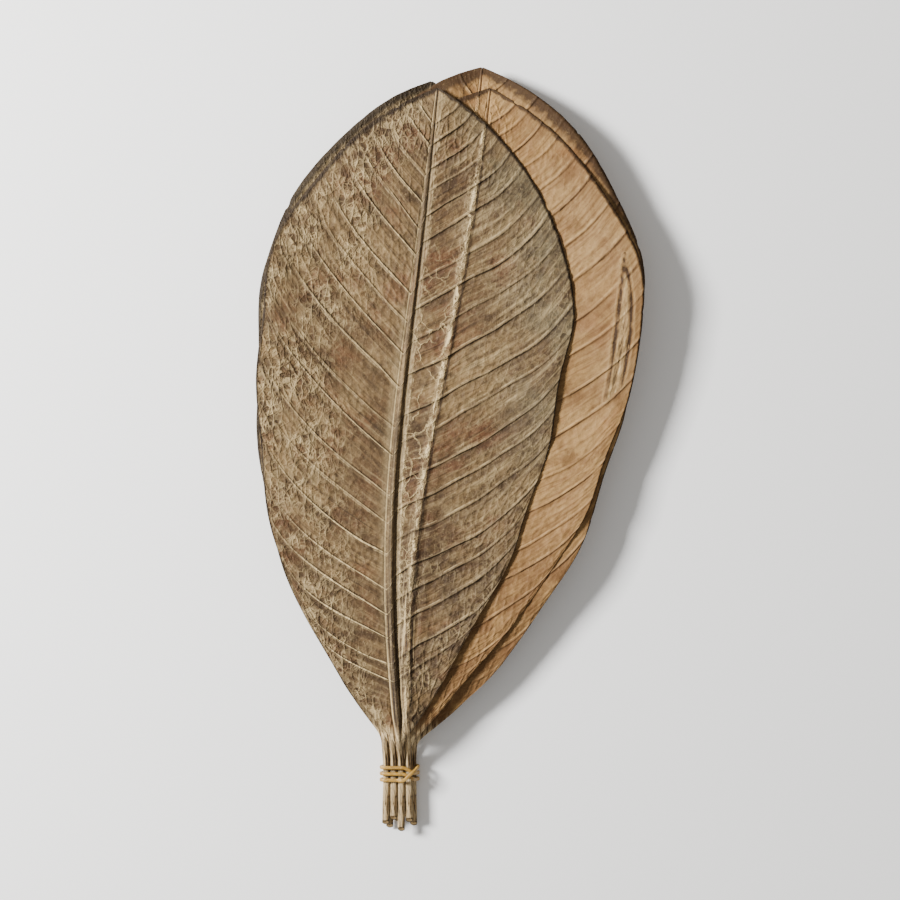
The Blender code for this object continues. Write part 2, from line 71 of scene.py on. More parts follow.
class Wire:
    def __init__(self, tree, socket=None):
        self.tree = tree
        self.socket = socket

    def node(self, kind, settings=None, values=None, out=0):
        made = self.tree.nodes.new(kind)
        for name, value in (settings or {}).items():
            setattr(made, name, value)
        for name, value in (values or {}).items():
            if isinstance(value, Wire):
                self.tree.links.new(value.socket, made.inputs[name])
            else:
                made.inputs[name].default_value = value
        return Wire(self.tree, made.outputs[out])

    def maths(self, operation, first, second=0.0):
        return self.node("ShaderNodeMath", {"operation": operation}, {0: first, 1: second})

    def __add__(self, other):
        return self.maths("ADD", self, other)

    def __sub__(self, other):
        return self.maths("SUBTRACT", self, other)

    def __mul__(self, other):
        return self.maths("MULTIPLY", self, other)

    def __truediv__(self, other):
        return self.maths("DIVIDE", self, other)

    def __rsub__(self, other):
        return self.maths("SUBTRACT", other, self)

    def __rtruediv__(self, other):
        return self.maths("DIVIDE", other, self)

    def __neg__(self):
        return self * -1.0

    __radd__ = __add__
    __rmul__ = __mul__

    # no less than 0 and no more than 1
    def clamped(self):
        return self.node("ShaderNodeClamp", {}, {0: self})

    def most(self, other):
        return self.maths("MAXIMUM", self, other)

    # 0 below low, 1 above high, with a smooth way between them
    def rising(self, low, high):
        values = {"Value": self, "From Min": low, "From Max": high}
        return self.node("ShaderNodeMapRange", {"interpolation_type": "SMOOTHSTEP"}, values)

    # 1 below low, 0 above high
    def falling(self, low, high):
        return 1.0 - self.rising(low, high)

    # a line of this half width where the value is 0, with soft sides
    def line(self, half):
        return self.falling(0.25 * half, half)

    # a smooth hump round 0
    def hump(self, half):
        scaled = self / half
        return self.maths("EXPONENT", -(scaled * scaled))

    # smooth noise from 0 to 1, with features of this size, in millimetres as all sizes here
    def noise(self, size, detail=4.0, rough=0.55, twist=0.0, out=0):
        values = {"Vector": self, "Scale": 1.0 / (size * mm), "Detail": detail,
                  "Roughness": rough, "Distortion": twist}
        return self.node("ShaderNodeTexNoise", {}, values, out)

    def clouds(self, size, low=0.4, high=0.6):
        return self.noise(size, 4.0, 0.6).rising(low, high)

    # noise about 0
    def waver(self, size, detail, reach):
        return (self.noise(size, detail) - 0.5) * reach

    # three noises in one vector, from -0.5 to 0.5
    def jitter(self, size):
        return self.noise(size, 3.0, out="Color").shifted((-0.5, -0.5, -0.5))

    # irregular cells of this size
    def cells(self, size, feature, out):
        settings = {"voronoi_dimensions": "2D", "feature": feature}
        values = {"Vector": self, "Scale": 1.0 / (size * mm)}
        return self.node("ShaderNodeTexVoronoi", settings, values, out)

    # the walls of such cells: 1 on the wall, 0 from this half width on
    def walls(self, size, half):
        return (self.cells(size, "DISTANCE_TO_EDGE", "Distance") * size).line(half)

    # one value from 0 to 1 for each such cell
    def chips(self, size):
        return self.cells(size, "F1", "Color")

    # lines that wander over the surface
    def squiggles(self, size, half):
        away = self.maths("ABSOLUTE", self.noise(size, 2.0) - 0.5)
        return (away * (1.7 * size)).line(half)

    def shifted(self, other):
        return self.node("ShaderNodeVectorMath", {"operation": "ADD"}, {0: self, 1: other})

    def scaled(self, factors):
        return self.node("ShaderNodeVectorMath", {"operation": "MULTIPLY"}, {0: self, 1: factors})

    # noise drawn out over cells of this width and length, which are 1 by 1 once scaled
    def drawnOut(self, wide, long, detail=4.0, rough=0.55):
        cells = self.scaled((1 / (wide * mm), 1 / (long * mm), 1.0))
        return cells.noise(1.0 / mm, detail, rough)

    # a map moved about by up to half of these distances
    def stirred(self, spot, size, reach):
        return self.shifted(spot.jitter(size).scaled([share * mm for share in reach]))

    def mixed(self, share, first, second):
        return self.node("ShaderNodeMix", {"data_type": "RGBA"}, {0: share, 6: first, 7: second}, out=2)

    # this colour turned into another by a mask
    def into(self, other, mask):
        return self.mixed(mask, self, other)

    # what closedLeaf and rubberBand keep on the mesh, for a Geometry Nodes tree
    def kept(self, name, kind="FLOAT"):
        return self.node("GeometryNodeInputNamedAttribute", {"data_type": kind}, {"Name": name})


# A colour in 0 to 255 as the linear values that the nodes take
def tint(red, green, blue):
    shares = [value / 255 for value in (red, green, blue)]
    return (*[s / 12.92 if s <= 0.04045 else ((s + 0.055) / 1.055) ** 2.4 for s in shares], 1.0)


def newMaterial(name):
    made = bpy.data.materials.new(name)
    made.use_nodes = True
    return made, made.node_tree.nodes["Principled BSDF"]


def plugged(shader, wires):
    for name, wire in wires.items():
        wire.tree.links.new(wire.socket, shader.inputs[name])


def placed(name, data):
    made = bpy.data.objects.new(name, data)
    bpy.context.scene.collection.objects.link(made)
    return made


def smoothStep(low, high, value):
    q = np.clip((value - low) / (high - low), 0, 1)
    return q * q * (3 - 2 * q)


# How every leaf grows. A user may change these to get another kind of leaf.

growth = dict(
    outline=((0.0, 0.0), (0.03, 0.12), (0.11, 0.32), (0.2, 0.55), (0.29, 0.74), (0.38, 0.86),
             (0.49, 0.95), (0.6, 0.99), (0.7, 1.0), (0.76, 0.945), (0.8, 0.87), (0.84, 0.765),
             (0.88, 0.64), (0.92, 0.49), (0.955, 0.32), (0.98, 0.16), (1.0, 0.0)),
    marginWave=0.012,
    marginWaves=5,
    widest=0.15,  # no side vein runs further out than this
    stemHalfWide=1.5 * mm,
    stemHalfHigh=1.4 * mm,
    stemSplay=3.0,
    stemSwell=0.06,
    cutSlant=0.8,
    tieHalf=6 * mm,
    swollen=22 * mm,  # from the tie to where the stem's foot is thickest
    turning=10 * mm,  # the rows turn from the tie's line to the midrib's
    flattening=17 * mm,  # the stem turns from round to flat
    firstVein=30 * mm,
    lastVein=16 * mm,
    veinCrowding=0.03,
    veinBend=0.14,
    veinHook=0.10,
    veinSlopes={-1: (0.42, 0.62), 1: (0.42, 0.36)},
    veinStagger=3.2 * mm,
    staggerFrom=(0.08, 0.2),
    staggerTo=(0.8, 0.95),
    veinJitter=2.2 * mm,
    wander=0.8 * mm,
    wanderSizes=(21, 34, 55),  # in millimetres, as the other sizes, the longest last
    wanderFrom=(1 * mm, 14 * mm),  # from the midrib
    bladeThick=0.34 * mm,
    bladeLift=0.14 * mm,
    nickDeep=0.45 * mm,
    nickWide=(0.6, 2.6),
    nickedFrom=(0.12, 0.98),
    trimmedFrom=(2 * mm, 12 * mm),  # of a row's length
    ragged=0.0015,
    raggedSizes=(2.3, 3.9, 6.1, 9.7),
    cutRings=(0.86, 0.6, 0.3),  # shares of the way from the middle of a stem's cut to its rim
    cutRough=0.07 * mm,
    cutHollow=0.25 * mm,
)

# Each leaf's own measures, from the bottom of the bundle to the top, where they aren't the
# usual ones. Lengths are in millimetres here, the lean is in degrees to the right, columns
# are on each side of the midrib, and fine is the face that shows.

usual = dict(sway=0.15, slim=1.0, veins=11, rib=1.6, step=1.5, columns=36, fine="upper",
             nicks=12, tipRim=0, slits=())
leafMeasures = (
    dict(piece="leafEight", node="leaf_8", slot="grey_leaf", blade=284, left=66, right=70,
         lean=4.1, bow=-4.2, stemX=-1.5, stemEnd=21, start=11, slim=0.9, veins=16, rib=1.7,
         phase=0.4, step=1.0, columns=66, fine="under", nicks=9, seed=8),
    dict(piece="leafSeven", node="leaf_7", slot="brown_leaf", blade=293, left=62, right=68,
         lean=2.9, bow=-5.5, stemX=-4.9, stemEnd=24, start=10, phase=2.1, seed=7),
    dict(piece="leafSix", node="leaf_6", slot="dark_leaf", blade=295, left=68, right=74,
         lean=5.8, bow=-2, stemX=1.9, stemEnd=19, start=12, phase=3.7, seed=6),
    dict(piece="leafFive", node="leaf_5", slot="brown_leaf", blade=282, left=57, right=64,
         lean=1.5, bow=-6, sway=0.2, stemX=-6.65, stemEnd=22, start=12, slim=1.05, phase=5.2,
         seed=5),
    dict(piece="leafFour", node="leaf_4", slot="grey_leaf", blade=300, left=65, right=66,
         lean=3.2, bow=-7.8, sway=0.2, stemX=-3.3, stemEnd=20, start=11, slim=0.96, phase=1.2,
         step=1.2, columns=46, nicks=14, seed=4),
    dict(piece="leafThree", node="leaf_3", slot="tan_leaf", blade=307, left=66, right=82,
         lean=5.7, bow=-2, sway=0.3, stemX=5.3, stemEnd=23, start=11, slim=0.86, phase=2.9,
         step=1.0, columns=60, nicks=18, seed=3, tipRim=2.4),
    dict(piece="leafTwo", node="leaf_2", slot="tan_leaf", blade=299, left=76, right=83,
         lean=6.9, bow=-6.7, sway=0.45, stemX=3.5, stemEnd=21, start=10, veins=18, rib=2.4,
         phase=0.9, step=0.75, columns=80, nicks=9, seed=2,
         slits=(((99.6, 233), (97.6, 214), (95.6, 197), (93.2, 180), (90.5, 166)),
                ((100.2, 229), (102.1, 213), (102.1, 198), (99.8, 182), (97.6, 172))),
         slitHalf=0.7),
    dict(piece="leafOne", node="leaf_1", slot="brown_leaf", blade=297, left=66, right=71,
         lean=3.1, bow=-9.2, sway=0.22, stemX=0.1, stemEnd=25, start=10, veins=20, rib=2.3,
         phase=4.4, step=0.62, columns=84, nicks=10, seed=1),
)

leaves = []
for measures in leafMeasures:
    leaf = {**usual, **measures}
    for key in ("blade", "left", "right", "bow", "stemX", "stemEnd", "start", "rib", "step"):
        leaf[key] = leaf[key] * mm
    leaf["tip"] = leaf["start"] + leaf["blade"]
    leaves.append(leaf)
bottomLeaf = leaves[0]

# The tie is where the band is, half way between the outermost stems.
bandLow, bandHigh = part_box("rubber_band")
stemXs = [leaf["stemX"] for leaf in leaves]
tieSpot = np.array((
    0.5 * (bandLow.x + bandHigh.x) - 0.5 * (min(stemXs) + max(stemXs)),
    0.5 * (bandLow.y + bandHigh.y),
))


# The plan of a leaf, seen from above

def outlineShare(q):
    x, y = np.array(growth["outline"]).T
    slope = np.gradient(y, x)
    n = np.clip(np.searchsorted(x, q) - 1, 0, len(x) - 2)
    width = x[n + 1] - x[n]
    t = (q - x[n]) / width
    start = (1 + 2 * t) * (1 - t) ** 2 * y[n] + t * (1 - t) ** 2 * width * slope[n]
    end = t**2 * (3 - 2 * t) * y[n + 1] + t**2 * (t - 1) * width * slope[n + 1]
    return np.maximum(start + end, 0)


# How far along its blade a place on a leaf is, from 0 to 1
def bladeShare(leaf, along):
    return np.clip((along - leaf["start"]) / leaf["blade"], 0, 1)


def halfWidth(leaf, along, side):
    q = bladeShare(leaf, along)
    wave = 1 + growth["marginWave"] * np.sin(2 * math.pi * growth["marginWaves"] * q + leaf["phase"] + side)
    reach = leaf["right"] if side > 0 else leaf["left"]
    return reach * outlineShare(q) ** leaf["slim"] * wave


def spineAt(leaf, along):
    lean = math.radians(leaf["lean"])
    ahead = np.array((math.sin(lean), math.cos(lean)))
    right = np.array((math.cos(lean), -math.sin(lean)))
    tieHalf = growth["tieHalf"]
    free = np.maximum(along - tieHalf, 0)[..., None]
    whole = leaf["tip"] - tieHalf
    turn = math.pi * free / whole
    bend = leaf["bow"] * (np.sin(turn) + leaf["sway"] * np.sin(2 * turn))
    slope = leaf["bow"] * (np.cos(turn) + 2 * leaf["sway"] * np.cos(2 * turn)) * math.pi / whole
    tied = np.stack([
        leaf["stemX"] * (1 + growth["stemSplay"] * np.maximum(0, -along - tieHalf)),
        np.minimum(along, tieHalf),
    ], axis=-1)
    point = tied + ahead * free + right * bend
    square = right - ahead * slope
    square /= np.linalg.norm(square, axis=-1, keepdims=True)
    turnedIn = smoothStep(0, growth["turning"], free)
    square = (1 - turnedIn) * np.array((1.0, 0.0)) + turnedIn * square
    return point, square / np.linalg.norm(square, axis=-1, keepdims=True)


def veinPlaces(leaf):
    first = leaf["start"] + growth["firstVein"]
    last = leaf["tip"] - growth["lastVein"]
    steps = np.linspace(0, 1, leaf["veins"])
    places = first + (last - first) * (steps - growth["veinCrowding"] * np.sin(2 * math.pi * steps))
    draw = np.random.default_rng(100 + leaf["seed"])
    return places + growth["veinJitter"] * draw.uniform(-1, 1, len(places))


def flattened(leaf, along):
    return smoothStep(leaf["start"], leaf["start"] + growth["flattening"], along)


# Where a row leaves the midrib on one side, how far out it meets the margin, its slope at
# the midrib, and how much of the blade's bend it has
def rowRun(leaf, along, side):
    q = bladeShare(leaf, along)
    window = smoothStep(*growth["staggerFrom"], q) * (1 - smoothStep(*growth["staggerTo"], q))
    foot = along + side * growth["veinStagger"] * window
    bend = flattened(leaf, foot)
    atFoot, moreAtTip = growth["veinSlopes"][side]
    slope = (atFoot + moreAtTip * bladeShare(leaf, foot)) * bend
    low, high = np.zeros_like(along), np.full_like(along, growth["widest"])
    for _ in range(30):
        middle = 0.5 * (low + high)
        ahead = middle * (slope + bend * (growth["veinBend"] + growth["veinHook"]))
        inside = halfWidth(leaf, foot + ahead, side) > middle
        low, high = np.where(inside, middle, low), np.where(inside, high, middle)
    return foot, low, slope, bend


# Half the width of the midrib, and its height
def midribAt(leaf, along):
    q = bladeShare(leaf, along)
    return (1.7 * (1 - q) ** 0.7 + 0.5) * mm, leaf["rib"] * (1 - q) ** 0.9 + 0.25 * mm


# Distance to the right of a leaf's midrib and how far along it, for points seen from above
def midribFrom(leaf, points):
    along = points[..., 1].copy()
    for _ in range(3):
        centre, right = spineAt(leaf, along)
        along = along + (points[..., 1] - centre[..., 1]) * right[..., 0]
        along = along - (points[..., 0] - centre[..., 0]) * right[..., 1]
    centre, right = spineAt(leaf, along)
    return ((points - centre) * right).sum(axis=-1), along


# The lie of each leaf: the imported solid's lower face as a height map, smoothed, then laid
# again over the ribs of the leaves below it.

lie = dict(cell=1.0 * mm, margin=4, blur=3.4, blurNearTie=1.2, touch=0.06 * mm, pressing=0.55,
           pressedBlur=0.8, sag=0.65, sagBlur=2.0, deepestSag=1.2 * mm, liftBlur=1.5,
           nearTie=(22 * mm, 55 * mm), settling=(25 * mm, 45 * mm), ribFoot=1.15)
gridLow = np.array((cadLow.x, cadLow.y)) - tieSpot - lie["margin"] * lie["cell"]
gridSize = [int((cadHigh[k] - cadLow[k]) / lie["cell"]) + 2 * lie["margin"] + 1 for k in (0, 1)]
gridX, gridY = np.meshgrid(*[gridLow[k] + lie["cell"] * np.arange(gridSize[k]) for k in (0, 1)],
                           indexing="ij")
gridPoints = np.stack([gridX, gridY], axis=-1)


def blurred(values, width):
    reach = int(3 * width) + 1
    weights = np.exp(-0.5 * (np.arange(-reach, reach + 1) / width) ** 2)
    weights /= weights.sum()
    for axis in (0, 1):
        padding = [(reach, reach) if a == axis else (0, 0) for a in (0, 1)]
        padded = np.pad(values, padding)
        parts = [w * np.take(padded, range(k, k + values.shape[axis]), axis=axis)
                 for k, w in enumerate(weights)]
        values = sum(parts)
    return values


# A blur that reads only what is inside the mask, and fills in beyond it
def filledBlur(values, mask, width):
    found, wide = [blurred(np.where(mask, values, 0.0), reach) for reach in (width, 5 * width)]
    weight, wideWeight = [blurred(mask.astype(float), reach) for reach in (width, 5 * width)]
    far = np.where(wideWeight > 1e-6, wide / np.maximum(wideWeight, 1e-6), values[mask].mean())
    share = np.clip(weight / 0.05, 0, 1)
    return share * found / np.maximum(weight, 1e-9) + (1 - share) * far


def solidTree(node):
    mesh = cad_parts[node].data
    faces = [tuple(face.vertices) for face in mesh.polygons]
    return BVHTree.FromPolygons([vertex.co.copy() for vertex in mesh.vertices], faces)


def lowerHeights(tree, points):
    found = np.full(points.shape[:-1], np.nan)
    up = Vector((0, 0, 1))
    for spot in np.ndindex(*found.shape):
        x, y = points[spot] + tieSpot
        hit = tree.ray_cast(Vector((x, y, -0.05)), up)[0]
        if hit is not None:
            found[spot] = hit.z
    return found


def sampled(heights, points):
    spots = (points - gridLow) / lie["cell"]
    low = np.clip(np.floor(spots).astype(int), 0, np.array(heights.shape) - 2)
    t = np.clip(spots - low, 0, 1)
    i, j = low[..., 0], low[..., 1]
    near = heights[i, j] * (1 - t[..., 0]) + heights[i + 1, j] * t[..., 0]
    far = heights[i, j + 1] * (1 - t[..., 0]) + heights[i + 1, j + 1] * t[..., 0]
    return near * (1 - t[..., 1]) + far * t[..., 1]


cover = np.full(gridX.shape, -1.0)  # the top of the leaves laid so far
ridges = np.zeros(gridX.shape)  # how far their midribs stand up
for leaf in leaves:
    tree = solidTree(leaf["node"])
    heights = lowerHeights(tree, gridPoints)
    mask = ~np.isnan(heights)
    heights = np.where(mask, heights, 0.0)
    nearTie, laid = [filledBlur(heights, mask, lie[key]) for key in ("blurNearTie", "blur")]
    away = smoothStep(*lie["nearTie"], gridY)
    laid = (1 - away) * nearTie + away * laid
    floor = cover + lie["touch"] - growth["bladeLift"]
    settled = smoothStep(*lie["settling"], gridY)
    leaf["ridges"] = lie["pressing"] * blurred(ridges, lie["pressedBlur"]) * settled
    laid = laid + leaf["ridges"] - blurred(leaf["ridges"], lie["blur"])
    free = np.where(cover > 0, np.clip(laid - floor, 0, lie["deepestSag"]), 0)
    laid = laid - lie["sag"] * blurred(free, lie["sagBlur"]) * settled
    over = np.maximum(floor - laid, 0) * settled
    leaf["heights"] = np.maximum(laid + blurred(over, lie["liftBlur"]), laid + over)
    if leaf is bottomLeaf:
        leaf["heights"] = np.maximum(leaf["heights"], 0.0)
    leaf["stemLine"] = np.arange(-leaf["stemEnd"] + 1 * mm, leaf["start"] + 40 * mm, 1 * mm)
    centres, _ = spineAt(leaf, leaf["stemLine"])
    low = lowerHeights(tree, centres)
    low = np.interp(leaf["stemLine"], leaf["stemLine"][~np.isnan(low)], low[~np.isnan(low)])
    leaf["stemLow"] = np.convolve(np.pad(low, 4, mode="edge"), np.ones(9) / 9, mode="valid")
    beside, along = midribFrom(leaf, gridPoints)
    ribHalf, ribHigh = midribAt(leaf, along)
    rib = ribHigh * np.clip(1 - (beside / (lie["ribFoot"] * ribHalf)) ** 2, 0, 1)
    top = leaf["heights"] + growth["bladeLift"] + growth["bladeThick"] + rib
    cover = np.where(mask, np.maximum(cover, top), cover)
    ridges = np.where(mask, np.maximum(0.5 * ridges, rib), 0.5 * ridges)
print("leaves laid on each other")


# How far a side vein strays from its even course
def strayed(leaf, side, along, out):
    draw = np.random.default_rng(50 + 2 * leaf["seed"] + (side > 0))
    total = np.zeros_like(out)
    for size in growth["wanderSizes"]:
        turn, phase = draw.uniform(0, math.pi), draw.uniform(0, 2 * math.pi)
        run = (out * math.cos(turn) + along * math.sin(turn)) / mm
        total += size / growth["wanderSizes"][-1] * np.sin(2 * math.pi * run / size + phase)
    return growth["wander"] * total


# The fine shape of one leaf: rows that follow its side veins, on two faces

ribColumns = 7  # of the columns on each side, how many are on the midrib
stemStep = 1.3 * mm  # between the rows of the stem


# Where the rows cross the midrib, closer in the blade than in the stem
def rowsOf(leaf):
    marks = [-leaf["stemEnd"], leaf["start"], *veinPlaces(leaf), leaf["tip"] - 0.5 * mm]
    rows = []
    for low, high in zip(marks[:-1], marks[1:]):
        step = leaf["step"] if low >= leaf["start"] else stemStep
        rows += list(np.linspace(low, high, max(2, round((high - low) / step)), endpoint=False))
    return np.array(rows + [marks[-1]])


# How much of the margin is gone, in nicks and a ragged line
def nicked(leaf, side, along):
    draw = np.random.default_rng(10 * leaf["seed"] + (side > 0))
    deep = np.zeros_like(along)
    for _ in range(leaf["nicks"]):
        place = leaf["start"] + leaf["blade"] * draw.uniform(*growth["nickedFrom"])
        wide = draw.uniform(*growth["nickWide"]) * mm
        depth = growth["nickDeep"] * draw.uniform(0.1, 1) ** 2
        deep += depth * np.clip(1 - np.abs(along - place) / wide, 0, 1) ** 0.7
    ragged = sum(np.sin(along / mm * 2 * math.pi / size + draw.uniform(0, 6)) * size
                 for size in growth["raggedSizes"])
    return deep + growth["ragged"] * mm * (ragged + sum(growth["raggedSizes"]))


# Both faces of a leaf as grids of points, the marks that its colours and relief read, and
# its two maps. Values for whole rows are kept as one column.
def leafFaces(leaf):
    along = rowsOf(leaf)[:, None]
    side = leaf["columns"]
    index = np.arange(-side, side + 1)
    count = np.arange(side + 1)
    flat = flattened(leaf, along)
    ribHalf, ribHigh = midribAt(leaf, along)
    steps = np.clip((count - ribColumns) / (side - ribColumns), 0, 1)
    ribSteps = np.clip(count / ribColumns, 0, 1)
    table = np.zeros((6, len(along), 2 * side + 1))
    for way in (-1, 1):
        foot, reach, slope, bend = rowRun(leaf, along, way)
        edge = np.minimum(ribHalf, 0.45 * reach)
        nick = nicked(leaf, way, foot + 0.8 * reach)
        trimmed = np.maximum(reach - nick * smoothStep(*growth["trimmedFrom"], reach), 0.6 * reach)
        out = edge * ribSteps + (trimmed - edge) * steps
        share = np.where(reach > 0, out / np.maximum(reach, 1e-9), 0)
        bent = growth["veinBend"] * share**3 + growth["veinHook"] * share**8
        ahead = (foot - along) * ribSteps + flat * reach * (share * slope + bend * bent)
        stray = strayed(leaf, way, along, out) * smoothStep(*growth["wanderFrom"], out)
        ahead = ahead + flat * stray * (1 - np.minimum(share, 1) ** 6)
        lead = 3 * growth["veinBend"] * share**2 + 8 * growth["veinHook"] * share**7
        cross = 1 / np.sqrt(1 + (slope + bend * lead) ** 2)
        columns = slice(side, None) if way > 0 else slice(side, None, -1)
        for layer, values in zip(table, (out, reach, share, ahead, cross, edge)):
            layer[:, columns] = values
    out, reach, share, ahead, cross, edge = table
    angle = 0.5 * math.pi * np.abs(index) / (side + 0.5)
    swell = 1 + growth["stemSwell"] * smoothStep(growth["tieHalf"], growth["swollen"], -along)
    roundOut = growth["stemHalfWide"] * swell * np.sin(angle)
    roundUp = growth["stemHalfHigh"] * np.cos(angle)
    across = ((1 - flat) * roundOut + flat * out) * np.sign(index)
    reached = along + ahead
    centre, right = spineAt(leaf, reached)
    plan = centre + right * across[..., None]
    low = sampled(leaf["heights"], plan) + growth["bladeLift"] * (leaf is not bottomLeaf)
    centreLine = np.interp(along, leaf["stemLine"], leaf["stemLow"]) + growth["stemHalfHigh"]
    bump = ribHigh * np.clip(1 - (out / np.maximum(edge, 1e-6)) ** 2, 0, 1)
    high = low + growth["bladeThick"] + bump
    upper = (1 - flat) * (centreLine + roundUp * swell) + flat * high
    lower = (1 - flat) * (centreLine - roundUp) + flat * low
    cut = growth["cutSlant"] * (along <= -leaf["stemEnd"])
    faces = {}
    for name, height in (("upper", upper), ("under", lower)):
        slanted = plan[..., 1] + cut * (height - centreLine)
        faces[name] = np.stack([plan[..., 0] + tieSpot[0], slanted + tieSpot[1], height], axis=-1)
    places = veinPlaces(leaf)
    veinAway = np.abs(along - places)
    nearest = veinAway.argmin(axis=1)[:, None]
    halfAway = np.abs(along - 0.5 * (places[1:] + places[:-1]))
    endAway = np.maximum(leaf["tip"] - along, 0)
    edgeAway = reach * (1 - share) * 0.8
    tall = bladeShare(leaf, reached)
    slitGap, stripIn = tornAt(leaf, plan)
    below = leaves[max(leaves.index(leaf) - 1, 0)]
    marks = {
        "ribGap": out / mm,
        "ribHalf": np.maximum(edge, 0.2 * mm) / mm,
        "veinGap": veinAway.min(axis=1, keepdims=True) * cross / mm,
        "veinSide": np.clip((along - places[nearest]) / (0.6 * mm), -1, 1),
        "halfGap": halfAway.min(axis=1, keepdims=True) * cross / mm,
        "edgeGap": np.minimum(edgeAway, endAway + out * 0.5) / mm,
        "share": np.clip(share, 0, 1) * np.sign(index),
        "blade": flat,
        "veinTurn": (nearest * 0.37 + np.sign(index) * 0.21) % 1.0,
        "tipRim": leaf["tipRim"] * smoothStep(0.76, 0.93, tall),
        "cutGap": (along + leaf["stemEnd"]) / mm,
        "tall": tall,
        "pressed": sampled(leaf["ridges"], plan) / mm,
        "pressSide": np.clip(midribFrom(below, plan)[0] / mm, -50, 50),
        "slitGap": slitGap,
        "stripIn": stripIn,
    }
    roundIn = angle * growth["stemHalfWide"]
    wide = ((1 - flat) * roundIn + flat * out) * np.sign(index)
    maps = {"leafMap": np.stack([wide, reached], axis=-1),
            "veinMap": np.stack([wide, along + 0 * wide], axis=-1)}
    return faces, {name: values + 0 * wide for name, values in marks.items()}, maps


# How far a point is from the nearer of two slits, less the slit's half width, and how far
# inside the loose strip between the slits it is, in millimetres
def tornAt(leaf, plan):
    gap = np.full(plan.shape[:-1], 50.0)
    if not leaf["slits"]:
        return gap, -gap
    x, y = plan[..., 0] / mm, plan[..., 1] / mm
    inside = gap
    for slit, way in zip(leaf["slits"], (1, -1)):
        places = np.array(slit)[::-1]
        bottom, top = places[0, 1], places[-1, 1]
        away = x - np.interp(y, places[:, 1], places[:, 0])
        down = np.clip((top - y) / (top - bottom), 0, 1)
        half = leaf["slitHalf"] * down**0.5 * (1 - down**3) * (1 + 0.3 * np.sin(23 * down))
        beyond = np.maximum(y - top, 0) + np.maximum(bottom - y, 0)
        gap = np.minimum(gap, np.abs(away) - half + 3 * beyond)
        inside = np.minimum(inside, way * away - beyond)
    return gap, inside


# Two triangles for each four corners
def halved(a, b, c, d):
    return np.concatenate([np.stack([a, b, c], -1), np.stack([a, c, d], -1)])


# Rings from the rim of a stem's cut to its middle, a little rough
def cutEnd(leaf, points, rim):
    centre = points[rim].mean(axis=0)
    draw = np.random.default_rng(leaf["seed"])
    extra, shares, triangles = [], [], []
    ring, count = np.array(rim), len(rim)
    for inward in growth["cutRings"]:
        spots = centre + (points[rim] - centre) * inward
        spots[:, 1] += draw.normal(0, growth["cutRough"], count) + growth["cutHollow"] * (1 - inward)
        inner = len(points) + len(shares) + np.arange(count)
        triangles.append(halved(np.roll(ring, -1), ring, inner, np.roll(inner, -1)))
        extra.append(spots)
        shares += [inward] * count
        ring = inner
    extra.append(centre[None] + np.array((0, 1.2 * growth["cutHollow"], 0)))
    middle = np.full(count, len(points) + len(shares))
    triangles.append(np.stack([np.roll(ring, -1), ring, middle], -1))
    return np.concatenate(extra), np.array(shares + [0.0]), triangles


